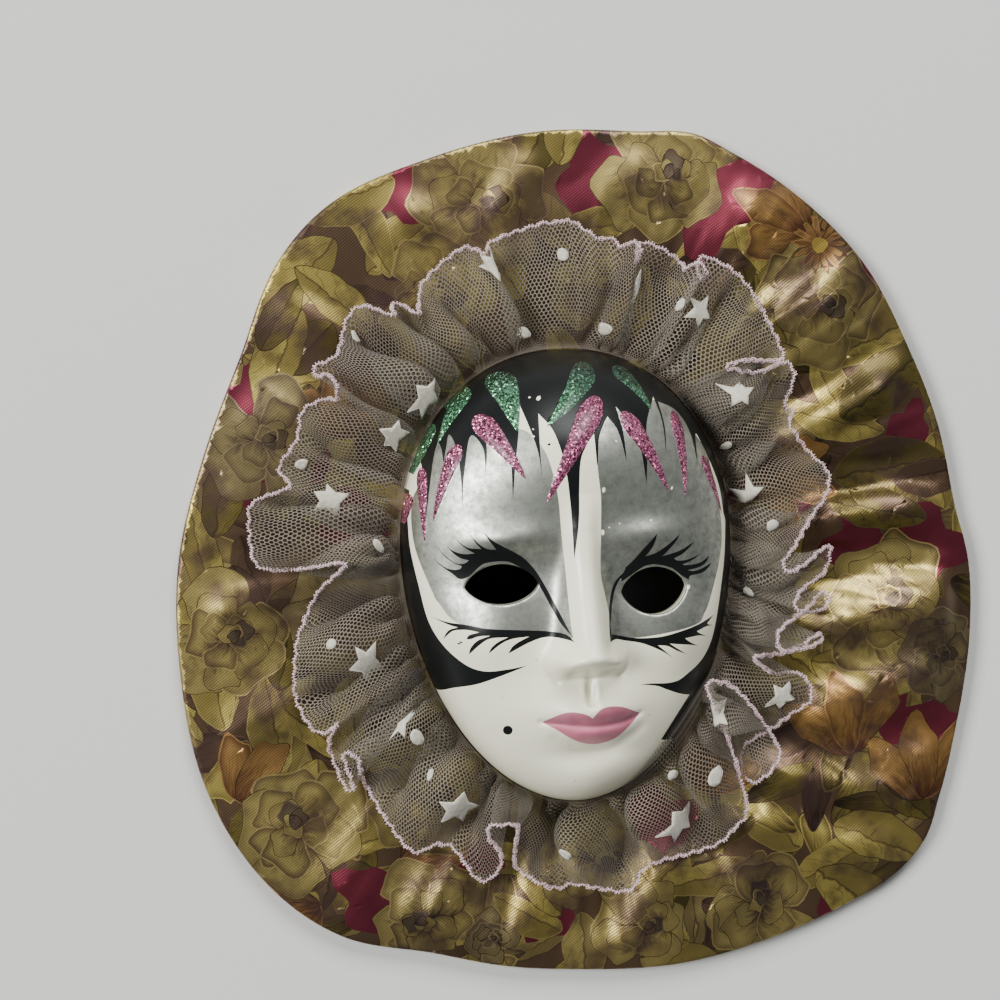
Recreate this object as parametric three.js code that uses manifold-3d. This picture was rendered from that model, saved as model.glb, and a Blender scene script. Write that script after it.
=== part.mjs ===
// A painted ceramic face mask with a gathered net ruffle, set on a collar of printed gold cloth that is
// stretched over an oval card. Millimetres; the piece lies on its back: +X to the right of the face as
// one looks at it, +Y towards the forehead, +Z out of the face. The origin is under the collar's centre.
import * as THREE from "three";
import { mergeVertices } from "three/addons/utils/BufferGeometryUtils.js";
import Module from "manifold-3d";

// The stack, from the surface that the piece lies on upwards.
const HEM_THICKNESS = 0.8;
const HEM_WIDTH = 14;
const GAP = 0.3;
const CARD_THICKNESS = 2.5;
const CLOTH_THICKNESS = 0.8;
const CARD_BOTTOM = HEM_THICKNESS + GAP;
const CARD_TOP = CARD_BOTTOM + CARD_THICKNESS;
const CLOTH_BOTTOM = CARD_TOP + GAP;
const CLOTH_TOP = CLOTH_BOTTOM + CLOTH_THICKNESS;
const MASK_BACK = CLOTH_TOP + GAP;

// The collar's cut edge: direction in degrees and distance from the middle of the card. It was cut by
// hand, so its curve is uneven, with a corner at the lower right and upper right.
const COLLAR_EDGE = [
  [-90, 109], [-76, 111.6], [-65, 113.8], [-53, 117.7], [-47, 120.3], [-40, 120.4], [-34, 116.2],
  [-24, 110.4], [-12, 106.2], [-1, 103.1], [8, 99.8], [20, 100.1], [33, 101.6], [46, 105.7],
  [58, 108.3], [70, 110.9], [76, 112.4], [84, 109.9], [96, 109.6], [112, 109.6], [126, 111.5],
  [136, 109.3], [150, 102.4], [165, 101.5], [180, 104.4], [195, 108], [212, 114.5], [226, 117.6],
  [237, 116.6], [248, 110.8], [258, 109.4],
];
// The collar is open behind the mask; its inner edge runs this far inside the mask's own edge.
const COLLAR_UNDER_MASK = 9;
const PUFF = 1.6; // how far the cloth swells between the ruffle and the edge
// Folds of the collar, each from the ruffle outwards: start, end, height and half width.
const FOLDS = [
  { from: [50, 30], to: [86, 55], height: 3.6, width: 4.5 },
  { from: [60, 6], to: [98, 10], height: 3.2, width: 3.5 },
  { from: [62, -14], to: [96, -16], height: 3.4, width: 8 },
  { from: [62, -36], to: [98, -42], height: 2.2, width: 6 },
  { from: [47, -58], to: [91, -74], height: 3.0, width: 4 },
  { from: [36, -80], to: [78, -90], height: 3.4, width: 5 },
  { from: [15, -89], to: [30, -107], height: 3.0, width: 3.5 },
  { from: [-12, -88], to: [-10, -106], height: 2.4, width: 4 },
  { from: [-35, -81], to: [-41, -102], height: 2.2, width: 4.5 },
  { from: [-52, -66], to: [-66, -88], height: 2.4, width: 4 },
  { from: [-74, -34], to: [-95, -46], height: 1.8, width: 5 },
  { from: [-76, -9], to: [-98, -10], height: 1.6, width: 3.5 },
  { from: [-73, 36], to: [-90, 42], height: 1.8, width: 5 },
  { from: [-65, 55], to: [-83, 67], height: 2.6, width: 3 },
  { from: [-42, 85], to: [-52, 96], height: 2.2, width: 5 },
  { from: [-24, 92], to: [-15, 106], height: 2.2, width: 3.5 },
  { from: [6, 92], to: [11, 107], height: 1.8, width: 5 },
  { from: [33, 82], to: [45, 99], height: 2.0, width: 6 },
  { from: [52, 64], to: [70, 79], height: 2.2, width: 6 },
];

// The mask's own frame: u to the right, v to the forehead, from its widest level on the line of the nose.
const MASK_CENTRE = [-5.7, 4.2];
const MASK_TILT = THREE.MathUtils.degToRad(2.85);
const HALF_WIDTH = 42.4;
const ABOVE_WIDEST = 49.3;
const BELOW_WIDEST = 66.9;
const OUTLINE_ABOVE = 2.1; // exponents of the outline's curve
const OUTLINE_BELOW = 1.92;
const WALL = 3.6;
// The dome that carries the features: (z / DOME) ^ DOME_TOP + level ^ DOME_SIDE = 1.
const DOME = 27;
const DOME_SIDE = 3.2;
const DOME_TOP = 2.6;
// Soft forms on the dome: place, spread and height.
const FORMS = [
  { name: "forehead", at: [0, 24], spread: [25, 17], height: 4.5 },
  { name: "left brow", at: [-18, 4], spread: [10, 3.6], height: 1.9 },
  { name: "right brow", at: [17, 3], spread: [10, 3.6], height: 1.9 },
  { name: "left socket", at: [-19, -6.5], spread: [11, 6.5], height: -4 },
  { name: "right socket", at: [18.5, -9.5], spread: [11, 6.5], height: -4 },
  { name: "left eyeball", at: [-19.5, -8], spread: [8, 5.6], height: 3.2 },
  { name: "right eyeball", at: [18.5, -11], spread: [8, 6], height: 3.2 },
  { name: "left cheek", at: [-25, -21], spread: [10, 9], height: 2.6 },
  { name: "right cheek", at: [25, -22], spread: [10, 9], height: 2.6 },
  { name: "left nose wing", at: [-6.4, -26.5], spread: [3.3, 3.4], height: 4.2 },
  { name: "right nose wing", at: [6.8, -26.5], spread: [3.3, 3.4], height: 4.2 },
  { name: "muzzle", at: [0.4, -40], spread: [14, 9], height: 4.6 },
  { name: "philtrum", at: [0.3, -34.5], spread: [1.5, 2.6], height: -0.8 },
  { name: "upper lip", at: [0.8, -39.6], spread: [9, 2.2], height: 1.4 },
  { name: "lower lip", at: [0.8, -45], spread: [8, 2.3], height: 1.8 },
  { name: "hollow under the lip", at: [0.8, -51], spread: [9, 2.6], height: -1.8 },
  { name: "chin", at: [0.5, -59], spread: [10, 6.5], height: 4.2 },
];
// The nose: a ridge that grows from the brow to the tip and drops to its base.
const NOSE = { top: 6, tip: -25, base: -30.5, start: 2.2, growth: 10, halfWidth: 3.6, widening: 2.4, flatness: 2.6 };
// Eye openings: centre, half width, height of the upper and the lower lid's curve.
const EYES = [
  { at: [-19.8, -7.6], halfWidth: 8.8, upper: 5.3, lower: 4.4 },
  { at: [18.0, -10.8], halfWidth: 8.4, upper: 5.5, lower: 6.0 },
];
const LID_ROUNDNESS = 1.4; // 1 is an ellipse, 2 is pointed

// The ruffle's free edge about the mask's centre: direction in degrees, reach and height of the edge.
const RUFFLE_EDGE = [
  [-86, 89.5, 11], [-97, 86, 12], [-102, 79, 19], [-107, 86.5, 12], [-120, 84.5, 10], [-133, 80.5, 11],
  [-142, 76, 16], [-150, 79, 11], [-162, 72, 13], [-176, 60, 20], [-185, 79.5, 11], [-195, 71, 17],
  [-206, 72.5, 12], [-222, 77, 11], [-232, 75.5, 13], [-241, 72.5, 18], [-253, 79, 12], [-267, 80.5, 10],
  [-282, 75.5, 16], [-295, 77, 11], [-306, 77, 11], [-316, 66, 20], [-326, 68, 12], [-341, 68.5, 10],
  [-360, 60.5, 18], [-367, 67.8, 12], [-375, 60.5, 18], [-382, 68.5, 12], [-388, 64.5, 17], [-398, 74, 12],
  [-406, 66, 21], [-417, 83.5, 12], [-432, 88.5, 10],
];
const RUFFLE_ROOT = 0.5; // from the mask's side to the gathers
const RUFFLE_ROOT_BAND = 4.6; // height of the gathers against the mask's side
const RUFFLE_THICKNESS = 1.1;
const FLUTES = 31;
const FLUTE_DEPTH = 1.5;

// How finely each piece is divided.
const MASK_SPOKES = 56;
const MASK_OUTER_RINGS = 25;
const MASK_INNER_RINGS = 9;
const MASK_POLE = [0.4, -15]; // where the mesh's rings close, near the features
const COLLAR_SPOKES = 84;
const COLLAR_RINGS = 7;
const RUFFLE_SPOKES = 108;
const RUFFLE_RINGS = 5;
const LID_STEPS = 11;

const wasm = await Module();
wasm.setup();

// A closed curve through points of [degrees, value, value ...], read at any direction in radians.
function closedCurve(points) {
  const sorted = points.map(([degrees, ...values]) => [THREE.MathUtils.euclideanModulo(degrees, 360), ...values]);
  sorted.sort((a, b) => a[0] - b[0]);
  const count = sorted.length;
  const knot = (i) => {
    const turns = Math.floor(i / count);
    const [degrees, ...values] = sorted[i - turns * count];
    return [degrees + 360 * turns, ...values];
  };
  return (angle) => {
    const degrees = THREE.MathUtils.euclideanModulo(THREE.MathUtils.radToDeg(angle), 360);
    let i = -1;
    while (knot(i + 1)[0] <= degrees) i += 1;
    const [before, start, end, after] = [i - 1, i, i + 1, i + 2].map(knot);
    const step = end[0] - start[0];
    const t = (degrees - start[0]) / step;
    return start.slice(1).map((value, k) => {
      const slopeStart = ((end[k + 1] - before[k + 1]) / (end[0] - before[0])) * step;
      const slopeEnd = ((after[k + 1] - value) / (after[0] - start[0])) * step;
      return (
        (2 * t ** 3 - 3 * t ** 2 + 1) * value +
        (t ** 3 - 2 * t ** 2 + t) * slopeStart +
        (3 * t ** 2 - 2 * t ** 3) * end[k + 1] +
        (t ** 3 - t ** 2) * slopeEnd
      );
    });
  };
}

// A closed mesh of rows of points, each row a loop round the piece. With poles, the first and last rows
// are single points; without, the last row joins the first.
function loopMesh(rows, spokes, pointAt, poles) {
  const positions = [];
  const index = [];
  for (let row = 0; row < rows; row += 1) {
    for (let spoke = 0; spoke < spokes; spoke += 1) {
      positions.push(...pointAt(row, (2 * Math.PI * spoke) / spokes));
    }
  }
  const at = (row, spoke) => (row % rows) * spokes + (spoke % spokes);
  for (let row = 0; row < (poles ? rows - 1 : rows); row += 1) {
    for (let spoke = 0; spoke < spokes; spoke += 1) {
      const [a, b] = [at(row, spoke), at(row, spoke + 1)];
      const [c, d] = [at(row + 1, spoke), at(row + 1, spoke + 1)];
      if (!(poles && row === 0)) index.push(a, d, b);
      if (!(poles && row === rows - 2)) index.push(a, c, d);
    }
  }
  const geometry = new THREE.BufferGeometry();
  geometry.setAttribute("position", new THREE.Float32BufferAttribute(positions, 3));
  geometry.setIndex(index);
  return mergeVertices(geometry, 1e-4);
}

// A geometry as a solid for cutting, with only its positions kept and shared.
function solidOf(geometry) {
  const bare = geometry.clone();
  bare.deleteAttribute("normal");
  bare.deleteAttribute("uv");
  const merged = mergeVertices(bare, 1e-4);
  return new wasm.Manifold(
    new wasm.Mesh({
      numProp: 3,
      vertProperties: merged.attributes.position.array,
      triVerts: new Uint32Array(merged.index.array),
    }),
  );
}

function geometryOf(solid) {
  const mesh = solid.getMesh();
  const geometry = new THREE.BufferGeometry();
  geometry.setAttribute("position", new THREE.BufferAttribute(Float32Array.from(mesh.vertProperties), 3));
  geometry.setIndex([...mesh.triVerts]);
  return geometry;
}

function mix(a, b, t) {
  return a + (b - a) * t;
}

// The collar's edge, moved so that its box is centred on the origin.
const collarRadius = closedCurve(COLLAR_EDGE);
const edgeBox = new THREE.Box2();
for (let spoke = 0; spoke < COLLAR_SPOKES; spoke += 1) {
  const angle = (2 * Math.PI * spoke) / COLLAR_SPOKES;
  const radius = collarRadius(angle)[0];
  edgeBox.expandByPoint(new THREE.Vector2(radius * Math.cos(angle), radius * Math.sin(angle)));
}
const edgeMiddle = edgeBox.getCenter(new THREE.Vector2());

function collarEdge(angle, inset) {
  const radius = collarRadius(angle)[0] - inset;
  return [radius * Math.cos(angle) - edgeMiddle.x, radius * Math.sin(angle) - edgeMiddle.y];
}

// 0 at the middle of the mask's outline and 1 on it; every level has the outline's shape.
function outlineLevel(u, v) {
  const power = v > 0 ? OUTLINE_ABOVE : OUTLINE_BELOW;
  const reach = v > 0 ? ABOVE_WIDEST : BELOW_WIDEST;
  return (Math.abs(u / HALF_WIDTH) ** power + Math.abs(v / reach) ** power) ** (1 / power);
}

function toMaskFrame(x, y) {
  const [dx, dy] = [x - MASK_CENTRE[0], y - MASK_CENTRE[1]];
  const [c, s] = [Math.cos(MASK_TILT), Math.sin(MASK_TILT)];
  return [dx * c + dy * s, dy * c - dx * s];
}

function fromMaskFrame(u, v) {
  const [c, s] = [Math.cos(MASK_TILT), Math.sin(MASK_TILT)];
  return [MASK_CENTRE[0] + u * c - v * s, MASK_CENTRE[1] + u * s + v * c];
}

// The mask's outline from its centre, in a direction of the part's frame, moved outwards by offset.
function maskEdge(angle, offset) {
  const [c, s] = [Math.cos(angle - MASK_TILT), Math.sin(angle - MASK_TILT)];
  const radius = 1 / outlineLevel(c, s) + offset;
  return [MASK_CENTRE[0] + radius * Math.cos(angle), MASK_CENTRE[1] + radius * Math.sin(angle)];
}

function noseHeight(u, v) {
  const rise = THREE.MathUtils.clamp((NOSE.top - v) / (NOSE.top - NOSE.tip), 0, 1);
  const fall = THREE.MathUtils.clamp((v - NOSE.base) / (NOSE.tip - NOSE.base), 0, 1);
  const start = THREE.MathUtils.clamp((NOSE.top + 8 - v) / 8, 0, 1);
  const along = v > NOSE.tip ? start : Math.sin((fall * Math.PI) / 2) ** 0.7;
  const halfWidth = NOSE.halfWidth + NOSE.widening * rise;
  return (NOSE.start + NOSE.growth * rise ** 1.25) * along * Math.exp(-(Math.abs(u / halfWidth) ** NOSE.flatness));
}

// Height of the mask's outer face over its back edge. detail 0 gives the smooth inner form.
function faceHeight(u, v, detail) {
  const level = Math.min(outlineLevel(u, v), 1);
  const dome = DOME * (1 - level ** DOME_SIDE) ** (1 / DOME_TOP);
  let relief = noseHeight(u, v);
  for (const { at, spread, height } of FORMS) {
    relief += height * Math.exp(-(((u - at[0]) / spread[0]) ** 2) - ((v - at[1]) / spread[1]) ** 2);
  }
  return dome + detail * (1 - level ** 6) * relief;
}

// A point at a share of the way from the mesh's pole to the mask's outline, drawn in by inset.
function maskPoint(angle, share, inset) {
  const [c, s] = [Math.cos(angle), Math.sin(angle)];
  const [a, b] = [HALF_WIDTH - inset, ABOVE_WIDEST - inset];
  const reach = s > 0 ? b : BELOW_WIDEST - inset;
  const power = 2 / (s > 0 ? OUTLINE_ABOVE : OUTLINE_BELOW);
  const edge = [a * Math.sign(c) * Math.abs(c) ** power, reach * Math.sign(s) * Math.abs(s) ** power];
  return [mix(MASK_POLE[0], edge[0], share), mix(MASK_POLE[1], edge[1], share)];
}

// Slip-cast shell: outer face from the tip outwards, back edge, then the inner face back to its middle.
function maskShell() {
  const rows = MASK_OUTER_RINGS + MASK_INNER_RINGS + 2;
  return loopMesh(
    rows,
    MASK_SPOKES,
    (row, angle) => {
      const outside = row <= MASK_OUTER_RINGS;
      const share = outside
        ? 1 - (1 - row / MASK_OUTER_RINGS) ** 1.35
        : 1 - ((row - MASK_OUTER_RINGS - 1) / MASK_INNER_RINGS) ** 1.5;
      const [u, v] = maskPoint(angle, share, outside ? 0 : WALL);
      const inner = [u * (HALF_WIDTH / (HALF_WIDTH - WALL)), v * (BELOW_WIDEST / (BELOW_WIDEST - WALL))];
      const z = outside ? faceHeight(u, v, 1) : Math.max(faceHeight(...inner, 0.25) - WALL, 0);
      return [...fromMaskFrame(u, v), MASK_BACK + z];
    },
    true,
  );
}

// A tall prism with an eye's outline, in the part's frame: upper lid from left to right, lower lid back.
function eyePrism({ at, halfWidth, upper, lower }) {
  const points = [];
  for (let i = 0; i < 2 * LID_STEPS; i += 1) {
    const angle = Math.PI - (Math.PI * i) / LID_STEPS;
    const rise = Math.sign(Math.sin(angle)) * Math.abs(Math.sin(angle)) ** LID_ROUNDNESS;
    const [u, v] = [halfWidth * Math.cos(angle), (i < LID_STEPS ? upper : lower) * rise];
    points.push(new THREE.Vector2(...fromMaskFrame(at[0] + u, at[1] + v)));
  }
  return new THREE.ExtrudeGeometry(new THREE.Shape(points), { depth: 2 * DOME, bevelEnabled: false });
}

function ceramicMask() {
  let solid = solidOf(maskShell());
  for (const eye of EYES) solid = solid.subtract(solidOf(eyePrism(eye)));
  const glaze = new THREE.MeshStandardMaterial({ color: 0xdadacc, roughness: 0.32, metalness: 0 });
  return new THREE.Mesh(geometryOf(solid), glaze);
}

// Height of the collar's cloth over its lie on the card, at a share of the way from the mask to the edge.
function collarLift(x, y, share) {
  const fade = THREE.MathUtils.smoothstep(share, 0.3, 0.55) * (1 - THREE.MathUtils.smoothstep(share, 0.86, 1));
  let lift = PUFF * fade;
  for (const { from, to, height, width } of FOLDS) {
    const [dx, dy] = [to[0] - from[0], to[1] - from[1]];
    const length = Math.hypot(dx, dy);
    const along = ((x - from[0]) * dx + (y - from[1]) * dy) / length;
    const across = ((x - from[0]) * dy - (y - from[1]) * dx) / length;
    const ends = THREE.MathUtils.smoothstep(along, -10, 6) * (1 - THREE.MathUtils.smoothstep(along, length - 6, length + 2));
    lift += height * ends * Math.exp(-((across / width) ** 2));
  }
  return lift * fade;
}

// Cloth over the card: top with its folds, round the card's edge and turned under as a flat hem.
function fabricCollar() {
  const section = (angle) => {
    const inner = maskEdge(angle, -COLLAR_UNDER_MASK);
    const outer = collarEdge(angle, 0.4);
    const points = [];
    for (let i = 0; i < COLLAR_RINGS; i += 1) {
      const share = i / (COLLAR_RINGS - 1);
      const [x, y] = [mix(inner[0], outer[0], share), mix(inner[1], outer[1], share)];
      points.push([x, y, CLOTH_TOP + collarLift(x, y, share)]);
    }
    points.push([...collarEdge(angle, 0), CLOTH_BOTTOM]);
    points.push([...collarEdge(angle, 0), 0.4]);
    points.push([...collarEdge(angle, 0.4), 0]);
    points.push([...collarEdge(angle, HEM_WIDTH), 0]);
    points.push([...collarEdge(angle, HEM_WIDTH), HEM_THICKNESS]);
    points.push([...collarEdge(angle, CLOTH_THICKNESS), HEM_THICKNESS]);
    points.push([...collarEdge(angle, CLOTH_THICKNESS), CLOTH_BOTTOM]);
    points.push([...inner, CLOTH_BOTTOM]);
    return points;
  };
  const rows = COLLAR_RINGS + 8;
  const geometry = loopMesh(rows, COLLAR_SPOKES, (row, angle) => section(angle)[row], false);
  const lame = new THREE.MeshStandardMaterial({ color: 0x9a8a45, roughness: 0.42, metalness: 0.35 });
  return new THREE.Mesh(geometry, lame);
}

// Oval card inside the collar; its black face shows through the mask's eyes.
function backingCard() {
  const heights = [CARD_BOTTOM, CARD_BOTTOM, CARD_TOP, CARD_TOP];
  const geometry = loopMesh(
    heights.length,
    COLLAR_SPOKES,
    (row, angle) => {
      const edge = row === 1 || row === 2;
      return edge ? [...collarEdge(angle, CLOTH_THICKNESS + GAP), heights[row]] : [0, 0, heights[row]];
    },
    true,
  );
  geometry.index.array.reverse();
  return new THREE.Mesh(geometry, new THREE.MeshStandardMaterial({ color: 0x15151a, roughness: 0.9, metalness: 0 }));
}

// Gathered net: thick gathers against the mask's side that flare into lobes with tucks between them.
function tulleRuffle() {
  const edge = closedCurve(RUFFLE_EDGE);
  const level = (angle, share) => {
    const lift = edge(angle)[1] - MASK_BACK;
    const flute = FLUTE_DEPTH * Math.sin(FLUTES * angle) * Math.sin(Math.PI * Math.min(share * 1.2, 1));
    return MASK_BACK + mix(RUFFLE_ROOT_BAND / 2, lift, share ** 0.8) + flute;
  };
  const half = (share) => mix(RUFFLE_ROOT_BAND / 2, RUFFLE_THICKNESS / 2, Math.min(share * 4, 1));
  const rows = 2 * (RUFFLE_RINGS + 1);
  const geometry = loopMesh(
    rows,
    RUFFLE_SPOKES,
    (row, angle) => {
      const top = row <= RUFFLE_RINGS;
      const share = (top ? row : rows - 1 - row) / RUFFLE_RINGS;
      const root = maskEdge(angle, RUFFLE_ROOT);
      const reach = edge(angle)[0];
      const tip = [MASK_CENTRE[0] + reach * Math.cos(angle), MASK_CENTRE[1] + reach * Math.sin(angle)];
      const z = level(angle, share) + (top ? 1 : -1) * half(share);
      return [mix(root[0], tip[0], share), mix(root[1], tip[1], share), z];
    },
    false,
  );
  const net = new THREE.MeshStandardMaterial({ color: 0xa09484, roughness: 0.9, metalness: 0 });
  return new THREE.Mesh(geometry, net);
}

const wallMask = new THREE.Group();
const pieces = {
  backing_card: backingCard(),
  fabric_collar: fabricCollar(),
  tulle_ruffle: tulleRuffle(),
  ceramic_mask: ceramicMask(),
};
for (const [name, mesh] of Object.entries(pieces)) {
  mesh.name = name;
  mesh.geometry.computeVertexNormals();
  wallMask.add(mesh);
}

export default wallMask;
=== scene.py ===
"""Blender scene of a painted ceramic wall mask with a net ruffle on a collar of printed gold cloth."""

import math

import bmesh
import bpy
import numpy as np
from mathutils import Matrix, Vector
from mathutils.geometry import delaunay_2d_cdt
from mathutils.kdtree import KDTree


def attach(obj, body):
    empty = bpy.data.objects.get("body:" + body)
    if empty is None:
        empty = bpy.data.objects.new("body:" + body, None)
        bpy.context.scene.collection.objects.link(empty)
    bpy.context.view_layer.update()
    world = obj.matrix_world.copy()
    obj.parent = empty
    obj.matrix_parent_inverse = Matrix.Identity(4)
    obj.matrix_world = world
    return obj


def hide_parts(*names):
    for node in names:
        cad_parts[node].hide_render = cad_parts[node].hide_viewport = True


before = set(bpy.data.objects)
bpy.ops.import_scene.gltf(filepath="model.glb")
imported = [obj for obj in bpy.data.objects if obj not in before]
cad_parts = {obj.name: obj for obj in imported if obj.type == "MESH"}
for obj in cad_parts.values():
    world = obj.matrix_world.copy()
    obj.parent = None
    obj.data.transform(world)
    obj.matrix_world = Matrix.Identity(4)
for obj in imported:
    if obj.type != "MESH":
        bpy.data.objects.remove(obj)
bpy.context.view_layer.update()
MM = 0.001

# Camera. It looks down at the mask lying on its back, from a little left of it and towards its forehead,
# which leaves the free side on the left and shows the mask's left flank.
CAMERA_TARGET = Vector((-22.3, 14.95, 5.0)) * MM
CAMERA_DISTANCE = 480 * MM
CAMERA_TO_LEFT = math.radians(7.5)
CAMERA_TO_TOP = math.radians(4)
CAMERA_LENS = 67.4


def add_object(name, data):
    made = bpy.data.objects.new(name, data)
    bpy.context.collection.objects.link(made)
    return made


back = Vector((-math.tan(CAMERA_TO_LEFT), math.tan(CAMERA_TO_TOP), 1)).normalized()
right = Vector((0, 1, 0)).cross(back).normalized()
camera = add_object("camera", bpy.data.cameras.new("camera"))
camera.data.lens = CAMERA_LENS
camera.data.sensor_width = 36
camera.data.clip_start = 0.01
camera.matrix_world = Matrix.Translation(CAMERA_TARGET + back * CAMERA_DISTANCE) @ (
    Matrix((right, back.cross(right), back)).transposed().to_4x4()
)
bpy.context.scene.camera = camera


# Ceramic mask. A slip-cast shell with open eyes, hand-painted on its white glaze: silver lids, black cap and
# lashes, pink lips with painted shade on the upper lip, and drops of pink and green glitter glue on the
# forehead.
MASK_CENTRE = (-5.7, 4.2)
MASK_TILT = math.radians(2.85)
MASK_BACK = 5.0
HALF_WIDTH, ABOVE_WIDEST, BELOW_WIDEST = 42.4, 49.3, 66.9
OUTLINE_ABOVE, OUTLINE_BELOW = 2.1, 1.92
WALL = 3.6
DOME, DOME_SIDE, DOME_TOP = 27, 3.2, 2.6
FACE_FORMS = [  # middle, spread and height of each soft form, in the mask's own frame
    ((0, 24), (25, 17), 4.5),  # forehead
    ((-18, 4), (10, 3.6), 1.9),  # brows
    ((17, 3), (10, 3.6), 1.9),
    ((-19, -6.5), (11, 6.5), -4),  # sockets
    ((18.5, -9.5), (11, 6.5), -4),
    ((-19.5, -8), (8, 5.6), 3.2),  # eyeballs
    ((18.5, -11), (8, 6), 3.2),
    ((-25, -21), (10, 9), 2.6),  # cheeks
    ((25, -22), (10, 9), 2.6),
    ((-6.4, -26.5), (3.3, 3.4), 4.2),  # nose wings
    ((6.8, -26.5), (3.3, 3.4), 4.2),
    ((0.4, -40), (14, 9), 4.6),  # muzzle
    ((0.3, -34.5), (1.5, 2.6), -0.8),  # philtrum
    ((0.8, -39.6), (9, 2.2), 1.4),  # lips
    ((0.8, -45), (8, 2.3), 1.8),
    ((0.8, -51), (9, 2.6), -1.8),  # hollow under the lip
    ((0.5, -59), (10, 6.5), 4.2),  # chin
]
FINE_FORMS = [  # the small forms that only the visible face has
    ((-6.6, -26.6), (2.4, 2.6), 1.2),  # rounder wings
    ((7.0, -26.4), (2.4, 2.6), 1.2),
    ((-1.2, -34.2), (0.9, 2.6), 0.5),  # ridges beside the philtrum
    ((2.0, -34.4), (0.9, 2.6), 0.5),
    ((-3.9, -29.4), (2.3, 1.3), -1.7),  # nostrils
    ((4.9, -29.3), (2.3, 1.3), -1.7),
]
CREASES = [  # line, half width and depth of each crease
    ([(-8.6, -30.0), (-6.5, -28.3), (-4.2, -27.4), (-1.5, -26.9), (1.9, -26.7)], 0.7, 0.35),
    ([(5.1, -22.2), (8.3, -22.6), (10.2, -25.1), (10.1, -28.2), (8.4, -30.6)], 0.9, 0.7),
    ([(-8.3, -24.0), (-9.6, -27.0), (-9.4, -29.8), (-7.6, -31.5)], 0.9, 0.6),
    ([(-11.8, -41.7), (-6.5, -42.2), (0.0, -43.1), (4.8, -43.1), (9.8, -42.5), (13.0, -41.3)], 0.7, 0.6),
    (
        [(-8.1, -46.2), (-5.5, -48.2), (-2.0, -49.9), (1.4, -50.4), (5.0, -50.2), (8.0, -49.0), (10.8, -47.1),
         (13.2, -45.3)],
        1.6, 0.5,
    ),
    ([(1.0, -31.6), (0.4, -34.4), (0.3, -37.0)], 1.2, 0.5),
]
NOSE_TOP, NOSE_TIP, NOSE_BASE = 6, -24.8, -31.2
NOSE_START, NOSE_GROWTH, NOSE_HALF, NOSE_WIDENING, NOSE_FLATNESS = 2.2, 10, 3.6, 2.4, 2.6
NOSE_FADE = 8  # length over which the nose's bridge rises out of the brow
EYES = [((-19.8, -7.6), 8.8, 5.3, 4.4), ((18.0, -10.8), 8.4, 5.5, 6.0)]  # middle, half width, upper, lower
LID_ROUNDNESS = 1.4
LID_EDGE = 0.6  # radius of the lids' soft edge
PAINT_PITCH, INNER_PITCH = 0.5, 1.6
EDGE_STEPS, INNER_STEPS, EYE_STEPS, DROP_STEPS = 560, 200, 72, 26  # points of the outlines
PAINT_STEP = 0.6  # length of a painted edge's short sides
LID_RINGS = (0.05, 0.18, 0.36, 0.6)  # how far round a lid the sheet has edges for its soft rim
INNER_EYE = 0.35  # how much wider an eye opening is inside
FACE_MIDDLE = (0, -8)
ROW_SHARE = 0.866  # height of a row of triangles to their side
EDGE_GAP = 0.42  # share of the pitch that stays free beside an edge
SKIRT_LEVEL = 0.985  # from here the wall drops steeply to the back
SKIRT_ROWS = 20
INNER_DETAIL = 0.25  # how much of the face's relief the inside shows
GLUE_HEIGHT = 0.45  # of the drops of glitter glue


def rays(angles):
    """Unit vectors in the given directions."""
    return np.column_stack([np.cos(angles), np.sin(angles)])


def outline_level(u, v):
    """0 at the middle of the mask's outline and 1 on it."""
    power = np.where(v > 0, OUTLINE_ABOVE, OUTLINE_BELOW)
    reach = np.where(v > 0, ABOVE_WIDEST, BELOW_WIDEST)
    return (np.abs(u / HALF_WIDTH) ** power + np.abs(v / reach) ** power) ** (1 / power)


def outline_loop(level, count, inset=0):
    """Points round the mask's outline, at a level of it or moved in by inset."""
    loop = []
    for angle in np.arange(count) * 2 * math.pi / count:
        c, s = math.cos(angle), math.sin(angle)
        power = 2 / (OUTLINE_ABOVE if s > 0 else OUTLINE_BELOW)
        reach = (ABOVE_WIDEST if s > 0 else BELOW_WIDEST) - inset
        u = (HALF_WIDTH - inset) * math.copysign(abs(c) ** power, c)
        loop.append((level * u, level * reach * math.copysign(abs(s) ** power, s)))
    return np.array(loop)


def soft_forms(u, v, forms):
    """Sum of the soft forms' heights at each point."""
    total = np.zeros_like(u)
    for (cu, cv), (su, sv), height in forms:
        total += height * np.exp(-(((u - cu) / su) ** 2) - ((v - cv) / sv) ** 2)
    return total


def nose_height(u, v):
    """The nose's ridge, growing from the brow to its tip and dropping to its base."""
    rise = np.clip((NOSE_TOP - v) / (NOSE_TOP - NOSE_TIP), 0, 1)
    fall = np.clip((v - NOSE_BASE) / (NOSE_TIP - NOSE_BASE), 0, 1)
    start = np.clip((NOSE_TOP + NOSE_FADE - v) / NOSE_FADE, 0, 1)
    along = np.where(v > NOSE_TIP, start, np.sin(fall * math.pi / 2) ** 1.1)
    half = NOSE_HALF + NOSE_WIDENING * rise
    height = NOSE_START + NOSE_GROWTH * rise**1.25
    return height * along * np.exp(-(np.abs(u / half) ** NOSE_FLATNESS))


def face_height(u, v, detail=1.0):
    """Height of the face over the mask's back edge; detail 0 gives the smooth form of its inside."""
    level = np.minimum(outline_level(u, v), 1)
    dome = DOME * np.maximum(1 - level**DOME_SIDE, 0) ** (1 / DOME_TOP)
    relief = nose_height(u, v) + soft_forms(u, v, FACE_FORMS)
    if detail == 1:
        relief += soft_forms(u, v, FINE_FORMS)
    return dome + detail * (1 - level**6) * relief


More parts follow.
